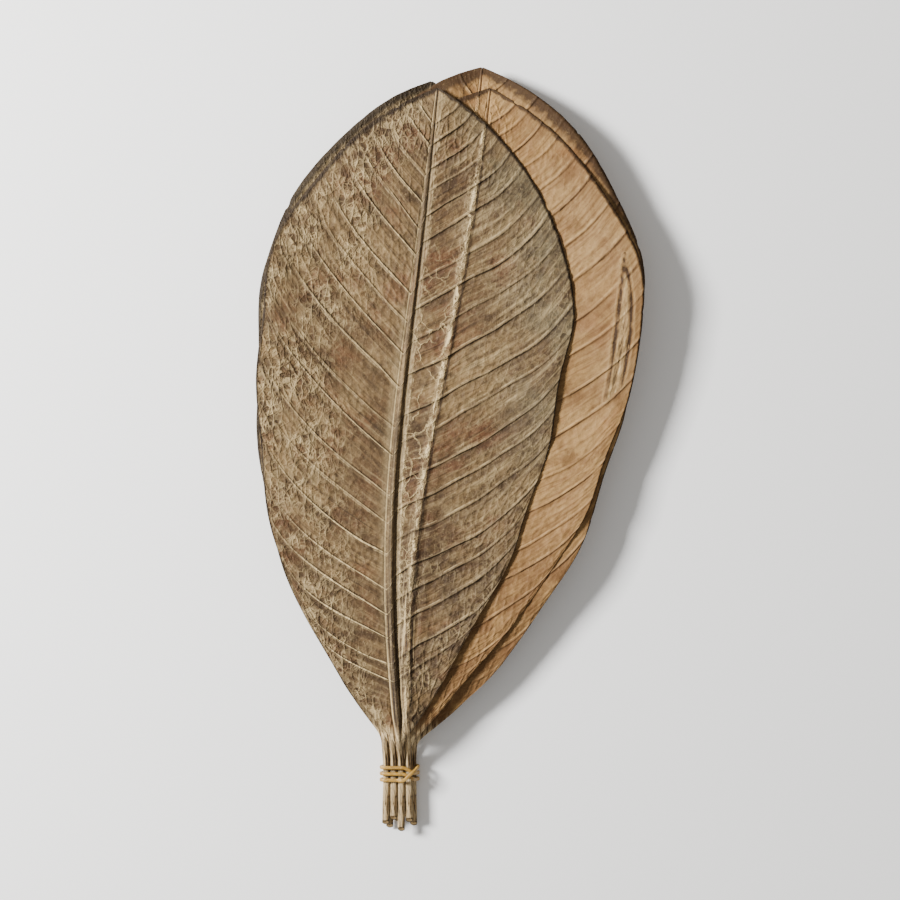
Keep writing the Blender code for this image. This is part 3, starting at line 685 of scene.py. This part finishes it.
# One closed mesh from a fine face and a coarse one, with rings on the cut end of the stem
def closedLeaf(leaf):
    faces, marks, maps = leafFaces(leaf)
    side = leaf["columns"]
    steps = np.arange(0, side + 1, 8 if side >= 60 else 4)
    picks = np.unique(np.concatenate([side - steps, [0], side + steps, [2 * side]]))
    fineName, coarseName = ("upper", "under") if leaf["fine"] == "upper" else ("under", "upper")
    fine, coarse = faces[fineName], faces[coarseName][:, picks]
    rows, columns = fine.shape[:2]
    coarseColumns = len(picks)
    first = rows * columns
    last = rows - 1

    def fineAt(i, j):
        return i * columns + j

    def coarseAt(i, k):
        return first + i * coarseColumns + k

    triangles = []

    # the diagonals run outwards from the midrib on both sides
    def grid(at, columnCount, flip):
        i, j = np.meshgrid(np.arange(last), np.arange(columnCount - 1), indexing="ij")
        a, b, c, d = at(i, j), at(i, j + 1), at(i + 1, j), at(i + 1, j + 1)
        left = j < (columnCount - 1) // 2
        one = np.stack([a, b, np.where(left, d, c)], -1)
        two = np.stack([np.where(left, a, b), d, c], -1)
        both = np.concatenate([one, two]).reshape(-1, 3)
        triangles.append(both[:, ::-1] if flip else both)

    grid(fineAt, columns, False)
    grid(coarseAt, coarseColumns, True)
    i = np.arange(last)
    for j, k, flip in ((0, 0, False), (columns - 1, coarseColumns - 1, True)):
        both = halved(fineAt(i, j), fineAt(i + 1, j), coarseAt(i + 1, k), coarseAt(i, k))
        triangles.append(both[:, ::-1] if flip else both)
    tip = []
    for k in range(coarseColumns - 1):
        middle = (picks[k] + picks[k + 1]) // 2
        for j in range(picks[k], picks[k + 1]):
            tip.append((fineAt(last, j), fineAt(last, j + 1), coarseAt(last, k + (j >= middle))))
        tip.append((coarseAt(last, k + 1), coarseAt(last, k), fineAt(last, middle)))
    triangles.append(np.array(tip))
    points = np.concatenate([fine.reshape(-1, 3), coarse.reshape(-1, 3)])
    rim = [fineAt(0, j) for j in range(columns)]
    rim += [coarseAt(0, k) for k in reversed(range(coarseColumns))]
    extra, ends, more = cutEnd(leaf, points, rim)
    capStart = len(points)
    points = np.concatenate([points, extra])
    triangles = np.concatenate(triangles + more)
    upper = np.ones(len(points))
    upper[:capStart] = np.arange(capStart) < first
    if leaf["fine"] == "under":
        triangles = triangles[:, ::-1]
        upper = 1 - upper
    mesh = bpy.data.meshes.new(leaf["piece"])
    mesh.vertices.add(len(points))
    mesh.vertices.foreach_set("co", points.astype(np.float32).ravel())
    mesh.loops.add(triangles.size)
    mesh.loops.foreach_set("vertex_index", triangles.astype(np.int32).ravel())
    mesh.polygons.add(len(triangles))
    mesh.polygons.foreach_set("loop_start", np.arange(0, triangles.size, 3, dtype=np.int32))
    mesh.update(calc_edges=True)

    def keep(name, values):
        attribute = mesh.attributes.new(name, "FLOAT", "POINT")
        attribute.data.foreach_set("value", values.astype(np.float32))

    for name, values in marks.items():
        cap = np.full(len(ends), values[0].min() if name != "ribGap" else 0.0)
        keep(name, np.concatenate([values.ravel(), values[:, picks].ravel(), cap]))
    keep("upper", upper)
    keep("cutRing", np.concatenate([np.ones(capStart), ends]))
    for name, flat in maps.items():
        whole = np.concatenate([flat.reshape(-1, 2), flat[:, picks].reshape(-1, 2),
                                np.zeros((len(ends), 2))])
        layer = mesh.uv_layers.new(name=name)
        layer.data.foreach_set("uv", whole[triangles.ravel()].astype(np.float32).ravel())
    mesh.shade_smooth()
    return placed(leaf["piece"], mesh)


# A Geometry Nodes tree with these measures and a material as its inputs
def newTree(name, measures):
    tree = bpy.data.node_groups.new(name, "GeometryNodeTree")
    kinds = {"Geometry": "Geometry", **dict.fromkeys(measures, "Float"), "Material": "Material"}
    for socketName, kind in kinds.items():
        tree.interface.new_socket(socketName, in_out="INPUT", socket_type="NodeSocket" + kind)
    tree.interface.new_socket("Geometry", in_out="OUTPUT", socket_type="NodeSocketGeometry")
    start = tree.nodes.new("NodeGroupInput")
    return tree, {socket.name: Wire(tree, socket) for socket in start.outputs if socket.name}


def endTree(tree, geometry, material):
    root = Wire(tree)
    real = root.node("GeometryNodeRealizeInstances", {}, {0: geometry})
    painted = root.node("GeometryNodeSetMaterial", {}, {"Geometry": real, "Material": material})
    tree.links.new(painted.socket, tree.nodes.new("NodeGroupOutput").inputs[0])


# Runs a tree on an object with these inputs and keeps the result as its plain mesh
def grown(thing, tree, values):
    modifier = thing.modifiers.new(tree.name, "NODES")
    modifier.node_group = tree
    for item in tree.interface.items_tree:
        if item.in_out == "INPUT" and item.name in values:
            modifier[item.identifier] = values[item.name]
    graph = bpy.context.evaluated_depsgraph_get()
    mesh = bpy.data.meshes.new_from_object(thing.evaluated_get(graph), depsgraph=graph)
    thing.modifiers.clear()
    thing.data = mesh


# The relief tree raises the side veins, the net between them and the fibres of the stem.
# Widths are in millimetres here.

relief = {
    "Vein height": 0.42 * mm, "Vein width": 0.48, "Lesser vein": 0.35, "Net height": 0.26 * mm,
    "Pillow": 0.32 * mm, "Pucker": 0.55 * mm, "Ripple": 0.5 * mm, "Fibre": 0.7 * mm,
    "Rib fibre": 0.4 * mm, "Folds": 0.7 * mm, "Wrinkles": 0.45 * mm,
}


# What the relief and the colours share: the net of small veins
def netOf(spot, leafMap, veinMap):
    reach = (3.2, 3.2, 0.0)
    coarse = veinMap.stirred(spot, 8, reach).scaled((1.0, 0.5, 1.0)).walls(3.2, 0.5)
    fine = leafMap.stirred(spot, 8, reach).walls(2.6, 0.42)
    return coarse, fine.most(spot.squiggles(4.6, 0.4))


def reliefTree():
    tree, given = newTree("leafRelief", [*relief, "Still"])
    root = Wire(tree)
    mark = root.kept
    spot = root.node("GeometryNodeInputPosition")
    leafMap, veinMap = mark("leafMap", "FLOAT_VECTOR"), mark("veinMap", "FLOAT_VECTOR")
    blade, upper, share = mark("blade"), mark("upper"), mark("share")
    edgeIn = mark("edgeGap").rising(0.3, 4.0)
    ribAcross = mark("ribGap") / mark("ribHalf")
    ribOut = ribAcross.rising(0.9, 1.6)
    outward = root.maths("ABSOLUTE", share)
    fading = 1.0 - outward.rising(0.55, 1.0) * 0.8
    veinGap = mark("veinGap") + spot.waver(6, 2.0, 0.5)
    crest = veinGap.hump(given["Vein width"] * (0.8 + 0.5 * mark("veinTurn"))) * fading
    crest = crest * (0.3 + spot.clouds(11, 0.3, 0.6) + 0.35 * mark("veinTurn")) * ribOut * edgeIn
    lesser = mark("halfGap").hump(0.4) * given["Lesser vein"] * outward.falling(0.35, 0.8)
    crest = crest + lesser * mark("veinTurn").rising(0.4, 0.5) * ribOut
    pillow = 1.0 - mark("veinGap").hump(2.6)
    coarse, fine = netOf(spot, leafMap, veinMap)
    netShow = (0.25 + spot.clouds(28)) * edgeIn * ribOut
    bumps = crest * given["Vein height"] + pillow * given["Pillow"] * ribOut * edgeIn
    bumps = bumps + netShow * (coarse + 0.3 * fine) * given["Net height"]
    strands = leafMap.drawnOut(1.1, 45, 3.0) - 0.5
    ribStrands = strands * given["Rib fibre"] * ribAcross.falling(0.7, 1.1)
    slit = mark("slitGap")
    tear = (slit - 0.8).hump(0.8) * 0.5 * mm - slit.falling(-0.2, 0.4) * 0.3 * mm
    tear = tear + mark("stripIn").rising(0.0, 2.0) * (spot.noise(4, 3.0) - 0.4) * 1.4 * mm
    wrinkled = (spot.squiggles(5, 0.9) - 0.4) * (mark("pressSide") + 1.5).hump(5.0)
    wrinkled = wrinkled * mark("pressed").rising(0.05, 0.4) * given["Wrinkles"]
    bumps = bumps + wrinkled * ribOut
    onTop = (bumps + ribStrands + tear) * blade * upper
    under = (crest * given["Vein height"] + pillow * given["Pillow"]) * -0.45 * blade * (1.0 - upper)
    stemFibres = strands * given["Fibre"] * (1.0 - blade) * mark("cutRing").rising(0.9, 1.0)
    folded = leafMap.drawnOut(4, 30, 2.0) - 0.5
    folded = folded * given["Folds"] * blade.rising(0.02, 0.5) * blade.falling(0.85, 1.0) * ribOut
    waves = spot.waver(14, 2.0, given["Pucker"]) * edgeIn * ribOut
    curled = spot.noise(21, 3.0, 0.6).rising(0.45, 0.8) * mark("edgeGap").hump(7.0)
    waves = (waves + curled * given["Ripple"]) * blade * (1.0 - given["Still"])
    normal = root.node("GeometryNodeInputNormal")
    push = root.node("ShaderNodeVectorMath", {"operation": "SCALE"},
                     {0: normal, "Scale": onTop + under + stemFibres})
    lift = root.node("ShaderNodeCombineXYZ", {}, {"Z": waves + folded * (1.0 - given["Still"])})
    moved = root.node("GeometryNodeSetPosition", {},
                      {"Geometry": given["Geometry"], "Offset": push.shifted(lift)})
    endTree(tree, moved, given["Material"])
    return tree


# The dried leaf's surface. Colours are in 0 to 255.

looks = dict(
    brown_leaf=dict(light=(119, 95, 62), mid=(84, 62, 38), dark=(47, 32, 18), red=(92, 56, 33),
                    vein=(208, 182, 134), shade=(30, 18, 9), net=(182, 158, 114), rim=(34, 23, 13),
                    grey=(84, 76, 56), netShow=0.9, veinDark=0.85, rimWide=0.7, greyShow=0.85,
                    pressShow=1.0, roughShow=1.0, veinFade=0.8, speckShow=0.42),
    tan_leaf=dict(light=(156, 121, 74), mid=(132, 98, 57), dark=(98, 67, 37), red=(122, 80, 45),
                  vein=(190, 156, 106), shade=(76, 48, 26), net=(176, 146, 100), rim=(52, 35, 20),
                  grey=(142, 118, 84), netShow=0.2, veinDark=0.9, rimWide=0.8, greyShow=0.3,
                  pressShow=0.3, roughShow=0.4, veinFade=0.1, speckShow=0.25),
    dark_leaf=dict(light=(112, 80, 52), mid=(86, 58, 37), dark=(56, 37, 22), red=(92, 57, 36),
                   vein=(128, 98, 66), shade=(36, 23, 12), net=(122, 92, 60), rim=(44, 31, 19),
                   grey=(92, 70, 46), netShow=0.5, veinDark=0.8, rimWide=2.4, greyShow=0.3,
                   pressShow=0.5, roughShow=0.8, veinFade=0.4, speckShow=0.6),
    grey_leaf=dict(light=(128, 110, 78), mid=(96, 78, 51), dark=(62, 47, 28), red=(94, 66, 42),
                   vein=(156, 134, 96), shade=(40, 27, 14), net=(160, 138, 100), rim=(34, 25, 14),
                   grey=(104, 90, 64), netShow=0.7, veinDark=0.7, rimWide=1.4, greyShow=0.6,
                   pressShow=0.6, roughShow=0.9, veinFade=0.6, speckShow=0.6),
)
stemLook = dict(stemPale=(210, 184, 139), stemMid=(148, 120, 80), stemDark=(42, 29, 17),
                cutPale=(184, 152, 102), cutDark=(98, 68, 38))


def leafMaterial(name, look):
    made, shader = newMaterial(name)
    root = Wire(made.node_tree)

    def mark(markName):
        return root.node("ShaderNodeAttribute", {"attribute_name": markName}, out="Fac")

    whole = {**look, **stemLook}
    colour = {key: tint(*value) for key, value in whole.items() if isinstance(value, tuple)}
    spot = root.node("ShaderNodeTexCoord", out="Object")
    leafMap, veinMap = [root.node("ShaderNodeUVMap", {"uv_map": name}) for name in ("leafMap", "veinMap")]
    elsewhere = spot.shifted((3.1, 1.7, 0.4))  # for noise that has nothing to do with the other
    names = ("blade", "share", "tall", "veinGap", "veinSide", "veinTurn", "pressSide", "ribGap", "ribHalf")
    blade, share, tall, veinAt, veinSide, veinTurn, pressAt, ribAt, ribHalf = map(mark, names)
    low = tall.falling(0.16, 0.34)
    leftSide = share.falling(-0.12, 0.12)
    outward = root.maths("ABSOLUTE", share)
    coarse, fine = netOf(spot, leafMap, veinMap)
    grain = spot.noise(1.1, 3.0, 0.7)
    speckle = elsewhere.noise(2.6, 4.0, 0.7)

    # a colour with others laid over it by their masks
    def coated(under, *coats):
        for key, mask in coats:
            under = under.into(colour[key], mask)
        return under

    def coat(key, mask):
        nonlocal base
        base = coated(base, (key, mask))

    base = root.mixed(spot.clouds(30), colour["mid"], colour["light"])
    coat("red", elsewhere.clouds(22, 0.5, 0.66) * 0.7)
    greyZone = share.rising(0.45, 0.9) * tall.rising(0.25, 0.6) * elsewhere.clouds(24, 0.3, 0.6)
    coat("grey", greyZone * look["greyShow"])
    coat("dark", elsewhere.clouds(13, 0.5, 0.7) * 0.7)
    lowRight = tall.falling(0.2, 0.5) * (1.0 - leftSide) * elsewhere.clouds(18, 0.34, 0.56)
    coat("dark", lowRight * 0.8)
    coat("dark", speckle.rising(0.48, 0.64) * look["speckShow"])
    coat("light", speckle.falling(0.34, 0.46) * look["speckShow"])

    # pale and dark streaks along the side veins
    sheen = veinMap.stirred(spot, 24, (0, 5, 0)).drawnOut(38, 5, 4.0, 0.65).rising(0.5, 0.64)
    coat("net", sheen * share.rising(0.15, 0.5) * tall.rising(0.25, 0.45) * look["greyShow"] * 0.4)
    combed = veinMap.stirred(spot, 20, (0, 3, 0)).drawnOut(26, 1.9, 3.0, 0.6)
    coat("dark", combed.rising(0.48, 0.64) * 0.5 * blade)
    coat("net", combed.falling(0.3, 0.46) * 0.22 * blade)

    # the net of small veins, palest towards the left margin
    netZone = (0.2 + 0.8 * leftSide) * outward.rising(0.15, 0.75) * spot.clouds(22, 0.36, 0.6)
    netZone = netZone.most(lowRight * spot.clouds(12, 0.42, 0.6) * 0.5)
    lowLeft = leftSide * tall.falling(0.25, 0.55)
    netZone = netZone.most(lowLeft * outward.rising(0.1, 0.6) * spot.clouds(8, 0.38, 0.56) * 0.9)
    netLines = (coarse * 0.7 + fine * 0.7).clamped() * spot.clouds(5, 0.4, 0.6)
    coat("dark", (1.0 - fine) * netZone * speckle.rising(0.36, 0.55) * 0.35)
    coat("net", netLines * (0.05 + 0.75 * netZone) * look["netShow"])
    chips = leafMap.stirred(spot, 4, (3, 3, 0)).chips(2.6)
    chipZone = (netZone * 0.9 + 0.1) * elsewhere.clouds(9, 0.4, 0.56) * look["netShow"]
    coat("net", chips.rising(0.5, 0.72) * chipZone * 0.6)
    coat("dark", chips.falling(0.22, 0.4) * chipZone * 0.55)

    # side veins: a thin pale crest with a dark crease on the side away from the light
    veinGap = veinAt + spot.waver(6, 2.0, 0.5) + spot.waver(1.5, 2.0, 0.3)
    fading = 1.0 - outward.rising(0.5, 0.95) * (0.4 + 0.6 * leftSide) * look["veinFade"]
    broken = spot.clouds(12, 0.25, 0.5) * fading * (0.45 + 0.55 * veinTurn.rising(0.1, 0.6))
    away = veinSide * (2.0 * leftSide - 1.0)
    # darker brown on the base side of each side vein: painted shade
    lower = veinAt.hump(4.0) * veinSide.falling(-0.4, 0.4)
    coat("dark", lower * spot.clouds(15, 0.3, 0.55) * (0.45 + 0.3 * low) * blade)
    creaseShade = (veinGap - 0.5).hump(0.26) * (0.2 + 0.8 * away.rising(-0.3, 0.6))
    coat("shade", creaseShade * broken * look["veinDark"] * blade)
    crest = veinGap.line(0.4) * broken.most(lowLeft * fading * 0.85)
    coat("vein", crest * (0.2 + 0.4 * leftSide + 0.35 * lowLeft) * blade)
    glint = (veinGap - 0.7).hump(0.25) * away.falling(-0.5, 0.2) * spot.clouds(8, 0.44, 0.6)
    coat("vein", glint * fading * 0.35 * blade)
    coat("shade", crest * (1.0 - leftSide) * look["veinDark"] * 0.4 * blade)
    between = mark("halfGap").line(0.4) * veinTurn.rising(0.4, 0.5)
    between = between * outward.falling(0.3, 0.7) * spot.clouds(7, 0.3, 0.5)
    coat("shade", between * 0.55 * blade)

    # the midrib of the leaf below, pressed through: a pale wrinkled band, partly painted highlight
    # on its lit left flank, with a painted shadow along its right side; the two maps made here are
    # in millimetres, not metres
    pressSide = pressAt + spot.waver(6, 3.0, 1.6)
    pressed = mark("pressed").rising(0.02, 0.12)
    # the pale band and the crown's pale flakes on the ridge's lit left flank: partly the crinkled leaf's
    # paler colour, partly painted highlight
    wornAndLit = (spot.clouds(1.8, 0.4, 0.62) * 0.6 + 0.6 * fine).clamped() * spot.clouds(9, 0.34, 0.56)
    scuffedAndLit = pressSide.rising(-6.0, -1.5) * pressSide.falling(0.2, 0.9) * wornAndLit
    ridgeMap = root.node("ShaderNodeCombineXYZ", {}, {"X": pressAt, "Y": tall * 120.0})
    flakes = ridgeMap.noise(2.4 / mm, 4.0, 0.6, 0.8).rising(0.5, 0.56) * (1.0 - 0.6 * low)
    crown = (pressSide + 0.5 + 0.4 * tall).hump(0.75 + 0.5 * tall) * pressAt.falling(0.3, 0.8) * flakes
    folds = root.node("ShaderNodeCombineXYZ", {}, {"X": pressAt / 0.9, "Y": tall * 9.0})
    folds = folds.noise(1.0 / mm, 3.0)
    foldZone = (pressAt + 1.2).hump(3.4) * tall.falling(0.22, 0.42) * look["pressShow"]
    # pale band and crown: paler crinkled tissue with a painted highlight
    coat("net", pressed * scuffedAndLit * (0.5 - 0.4 * low) * blade)
    coat("shade", folds.falling(0.38, 0.46) * foldZone * 0.8 * blade)
    coat("vein", folds.rising(0.53, 0.6) * foldZone * 0.7 * blade)
    coat("vein", pressed * crown * 0.95 * blade)
    cracks = leafMap.stirred(spot, 7, (8, 8, 0)).walls(8, 0.55) * spot.clouds(3, 0.3, 0.5)
    cracks = cracks * (1.0 - leftSide) * pressSide.falling(-1.5, 0.5) * tall.falling(0.6, 0.85)
    cracks = cracks * spot.clouds(9, 0.4, 0.58) * pressAt.rising(-24.0, -16.0)
    coat("net", cracks * 0.7 * look["pressShow"] * blade)
    # painted shadow along the right side of the pressed ridge
    leeShadow = (pressAt - 1.2).hump(0.55) * elsewhere.clouds(11, 0.25, 0.5)
    coat("shade", pressed * leeShadow * 0.8 * blade)

    # the midrib, streaked, with painted shade in the creases at its feet, darkest to its right, and a pale
    # rubbed strip beyond it
    across = ribAt / ribHalf
    strands = leafMap.drawnOut(0.7, 40, 4.0, 0.65)
    ribMask = across.falling(0.8, 1.1) * blade
    ribDark = (0.65 + 0.3 * low) * strands.rising(0.42 - 0.06 * low, 0.56)
    base = base.into(coated(base, ("vein", 0.12), ("shade", ribDark)), ribMask)
    sided = across * (1.0 - 2.0 * leftSide)
    coat("vein", (sided + 0.8).hump(0.17) * 0.8 * blade)
    # painted shade in the crease to the right of the midrib, fainter in the one to its left
    creaseShade = (sided - 0.72).hump(0.34 - 0.12 * tall) * look["veinDark"]
    coat("shade", creaseShade.most((sided + 1.15).hump(0.18) * 0.5) * blade)
    beside = (ribAt - ribHalf) * (1.0 - leftSide)
    coat("vein", (beside - 0.7).hump(0.4) * 0.35 * blade)
    strip = (beside - 1.9 + spot.waver(5, 2.0, 1.6)).hump(0.55)
    strip = strip.most((beside - 2.8).hump(0.8) * spot.clouds(1.8, 0.46, 0.62) * 0.7)
    strip = strip * spot.clouds(6, 0.3, 0.46) * tall.rising(0.1, 0.25) * (1.0 - 0.5 * tall.rising(0.4, 0.7))
    strip = strip * (0.4 + 0.6 * spot.clouds(1.8, 0.36, 0.56))
    coat("vein", strip * 0.75 * look["pressShow"] * blade)

    # the two slits of a tear and the scuffed grey strip between them
    slit = mark("slitGap") + spot.waver(3, 3.0, 0.7)
    loose = (mark("stripIn") + spot.waver(4, 3.0, 2.0)).rising(0.2, 1.4)
    ragged = leafMap.drawnOut(1.4, 9, 4.0, 0.7)
    coat("stemMid", loose * 0.7)
    coat("stemDark", loose * ragged.rising(0.47, 0.6) * 0.7)
    coat("stemPale", loose * ragged.falling(0.36, 0.43) * 0.45)
    coat("net", (slit - 1.2).hump(0.4) * 0.3)
    coat("rim", slit.falling(0.0, 0.7) * 0.95)
    edge = mark("edgeGap") + spot.waver(3.3, 4.0, 1.0 + mark("tipRim"))
    rimWide = look["rimWide"] + 0.5 * leftSide + mark("tipRim")
    rim = edge.falling(0.4 * rimWide, rimWide)
    coat("rim", rim * 0.9 * blade)

    # the stem, streaked lengthwise, and its cut end
    streaks = leafMap.drawnOut(0.6, 50, 5.0, 0.75)
    patches = leafMap.shifted((6.4 * mm, 20 * mm, 0.0)).drawnOut(1.6, 20)
    specks = leafMap.drawnOut(1.0, 4, 4.0, 0.65).rising(0.53, 0.61)
    ring = mark("cutRing")
    stem = coated(
        root.mixed(streaks.rising(0.44, 0.56), colour["stemDark"], colour["stemMid"]),
        ("stemPale", patches.rising(0.43, 0.55) * 0.88),
        ("stemDark", patches.falling(0.36, 0.42) * 0.7),
        ("stemDark", streaks.falling(0.4, 0.48) * 0.72),
        ("stemDark", specks * 0.7),
        ("stemDark", mark("cutGap").falling(0.2, 1.6) * 0.7),
        ("cutPale", ring.falling(0.72, 0.95)),
        ("cutDark", ring.falling(0.1, 0.34)),
    )
    base = stem.into(base, blade.rising(0.25, 0.9))
    coat("dark", grain.rising(0.55, 0.75) * 0.4)
    coat("net", grain.falling(0.28, 0.42) * 0.25)

    # roughness, and heights in millimetres
    rough = 0.62 + 0.14 * elsewhere.noise(13, 4.0) - 0.12 * crest
    shader.inputs["Specular IOR Level"].default_value = 0.2
    net = (0.18 * coarse + 0.18 * fine) * (0.15 + netZone) * look["roughShow"] * blade
    fibres = (0.6 * streaks - 0.2 * specks) * (1.0 - blade) + 0.3 * strands * ribMask
    crinkle = pressed * (0.35 * scuffedAndLit + 0.5 * crown) + (0.3 * cracks + 0.3 * strip) * look["pressShow"]
    pores = (0.1 * speckle + 0.05 * grain) * look["roughShow"]
    pores = pores + (0.14 + 0.5 * tall.falling(0.08, 0.32)) * combed * blade
    height = net + fibres + crinkle * blade + pores + 0.3 * veinGap.hump(0.4) * broken * blade
    bump = root.node("ShaderNodeBump", {}, {"Strength": 1.0, "Distance": 1.0 * mm, "Height": height})
    plugged(shader, {"Base Color": base, "Roughness": rough, "Normal": bump})
    return made


materials = {slot: leafMaterial(slot, look) for slot, look in looks.items()}
treeOfRelief = reliefTree()
for leaf in leaves:
    piece = closedLeaf(leaf)
    still = 1.0 if leaf is bottomLeaf else 0.0
    grown(piece, treeOfRelief, {**relief, "Still": still, "Material": materials[leaf["slot"]]})
    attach(piece, "root")
    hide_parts(leaf["node"])
    print(leaf["piece"], "made,", len(piece.data.polygons), "triangles")


# The rubber band: one closed loop wound three times round the stems

band = dict(thick=1.2 * mm, wide=1.5 * mm, gap=0.3 * mm, turns=3, pitch=2.8 * mm, points=96,
            crossing=0.16, crossingWide=0.17, climb=0.06, over=0.32 * mm, rounding=0.42 * mm,
            deep=(142, 104, 36), pale=(172, 132, 58), dust=(206, 180, 120))


# The band's middle line round the stems, and the way out from them at each point
def bandPath():
    half = np.array((growth["stemHalfWide"], growth["stemHalfHigh"]))
    spots = []
    for leaf in leaves:
        at = leaf["stemLine"].searchsorted(0.0)
        spots.append((leaf["stemX"] + tieSpot[0], leaf["stemLow"][at] + growth["stemHalfHigh"]))
    spots = np.array(spots)
    outline = []
    for angle in np.linspace(0, 2 * math.pi, 360, endpoint=False):
        away = np.array((math.cos(angle), math.sin(angle)))
        edge = half**2 * away / np.linalg.norm(half * away)
        best = spots[np.argmax(spots @ away)]
        outline.append(best + edge + away * (band["gap"] + 0.5 * band["thick"]))
    outline = np.array(outline + outline[:1])
    gone = np.concatenate(([0], np.cumsum(np.linalg.norm(np.diff(outline, axis=0), axis=1))))
    count = band["turns"] * band["points"]
    turn, share = np.divmod(np.arange(count) / band["points"], 1)
    begin = band["crossing"] - 0.5 * band["crossingWide"]
    end = begin + band["crossingWide"]
    moved = smoothStep(begin, end, share)
    along = ((1 - moved) * turn + moved * ((turn + 1) % band["turns"]) - 0.5 * (band["turns"] - 1))
    last = turn == band["turns"] - 1
    climb = smoothStep(begin - band["climb"], begin, share) - smoothStep(end, end + band["climb"], share)
    raised = last * climb * (band["thick"] + band["over"])

    def at(q):
        return np.stack([np.interp((q % 1) * gone[-1], gone, outline[:, k]) for k in (0, 1)], -1)

    near = 0.006  # of a turn
    way = at(share + near) - at(share - near)
    out = np.stack([way[:, 1], -way[:, 0]], -1) / np.linalg.norm(way, axis=1)[:, None]
    flat = at(share) + out * raised[:, None]
    points = np.stack([flat[:, 0], tieSpot[1] + along * band["pitch"], flat[:, 1]], -1)
    return points, np.stack([out[:, 0], 0 * along, out[:, 1]], -1)


def bandTree():
    tree, given = newTree("bandSweep", ["Width", "Thickness", "Rounding"])
    root = Wire(tree)
    curve = root.node("GeometryNodeMeshToCurve", {}, {0: given["Geometry"]})
    curve = root.node("GeometryNodeSetCurveNormal", {"mode": "FREE"},
                      {"Curve": curve, "Normal": root.kept("outward", "FLOAT_VECTOR")})
    section = root.node("GeometryNodeCurvePrimitiveQuadrilateral", {},
                        {"Width": given["Thickness"], "Height": given["Width"]})
    section = root.node("GeometryNodeFilletCurve", {"mode": "POLY"},
                        {"Curve": section, "Count": 3, "Radius": given["Rounding"]})
    swept = root.node("GeometryNodeCurveToMesh", {}, {"Curve": curve, "Profile Curve": section})
    smooth = root.node("GeometryNodeSetShadeSmooth", {}, {0: swept})
    endTree(tree, smooth, given["Material"])
    return tree


def rubberMaterial():
    made, shader = newMaterial("amber_rubber")
    spot = Wire(made.node_tree).node("ShaderNodeTexCoord", out="Object")
    mottle = spot.noise(4.5, 4.0)
    dust = spot.noise(0.7, 3.0).rising(0.5, 0.7)
    amber = spot.mixed(mottle.rising(0.35, 0.65), tint(*band["deep"]), tint(*band["pale"]))
    amber = amber.into(tint(*band["dust"]), dust * 0.35)
    bump = spot.node("ShaderNodeBump", {}, {"Strength": 0.3, "Distance": 0.0001, "Height": mottle + dust})
    plugged(shader, {"Base Color": amber, "Roughness": 0.34 + 0.2 * dust, "Normal": bump})
    return made


def rubberBand():
    points, outward = bandPath()
    mesh = bpy.data.meshes.new("rubberBand")
    count = len(points)
    mesh.from_pydata(points.tolist(), [(k, (k + 1) % count) for k in range(count)], [])
    attribute = mesh.attributes.new("outward", "FLOAT_VECTOR", "POINT")
    attribute.data.foreach_set("vector", outward.astype(np.float32).ravel())
    made = placed("rubberBand", mesh)
    grown(made, bandTree(), {"Width": band["wide"], "Thickness": band["thick"],
                             "Rounding": band["rounding"], "Material": rubberMaterial()})
    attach(made, "root")
    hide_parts("rubber_band")
    return made


print("rubber band made,", len(rubberBand().data.polygons), "faces")


# Floor, light and camera

studio = dict(floor=(253, 252, 250), floorSize=6.0, sky=0.42, keyPower=50.0, keySize=0.3,
              keyAway=1.25, keyTurn=-72.0, keyRise=35.0, lens=85.0, fill=0.86,
              skyTint=(1.0, 0.985, 0.96, 1.0), floorDrop=0.05 * mm)


def setStudio():
    half = 0.5 * studio["floorSize"]
    mesh = bpy.data.meshes.new("floor")
    corners = [(-half, -half), (half, -half), (half, half), (-half, half)]
    mesh.from_pydata([(x, y, -studio["floorDrop"]) for x, y in corners], [], [(0, 1, 2, 3)])
    paint, shader = newMaterial("floorPaint")
    shader.inputs["Base Color"].default_value = tint(*studio["floor"])
    shader.inputs["Roughness"].default_value = 0.7
    mesh.materials.append(paint)
    placed("floor", mesh)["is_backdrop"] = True
    world = bpy.data.worlds.new("studio")
    world.use_nodes = True
    sky = world.node_tree.nodes["Background"]
    sky.inputs["Color"].default_value = studio["skyTint"]
    sky.inputs["Strength"].default_value = studio["sky"]
    bpy.context.scene.world = world
    lamp = bpy.data.lights.new("key", "AREA")
    lamp.energy = studio["keyPower"]
    lamp.size = studio["keySize"]
    turn, rise = math.radians(studio["keyTurn"]), math.radians(studio["keyRise"])
    away = Vector((math.sin(turn) * math.cos(rise), math.cos(turn) * math.cos(rise), math.sin(rise)))
    key = placed("key", lamp)
    key.location = away * studio["keyAway"]
    key.rotation_euler = (-away).to_track_quat("-Z", "Y").to_euler()
    camera = bpy.data.cameras.new("camera")
    camera.lens = studio["lens"]
    low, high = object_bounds()
    middle = 0.5 * (low + high)
    distance = (high.y - low.y) / studio["fill"] * studio["lens"] / camera.sensor_width
    seat = placed("camera", camera)
    seat.location = (middle.x, middle.y, high.z + distance)
    bpy.context.scene.camera = seat


setStudio()
print("studio set")

low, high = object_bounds()
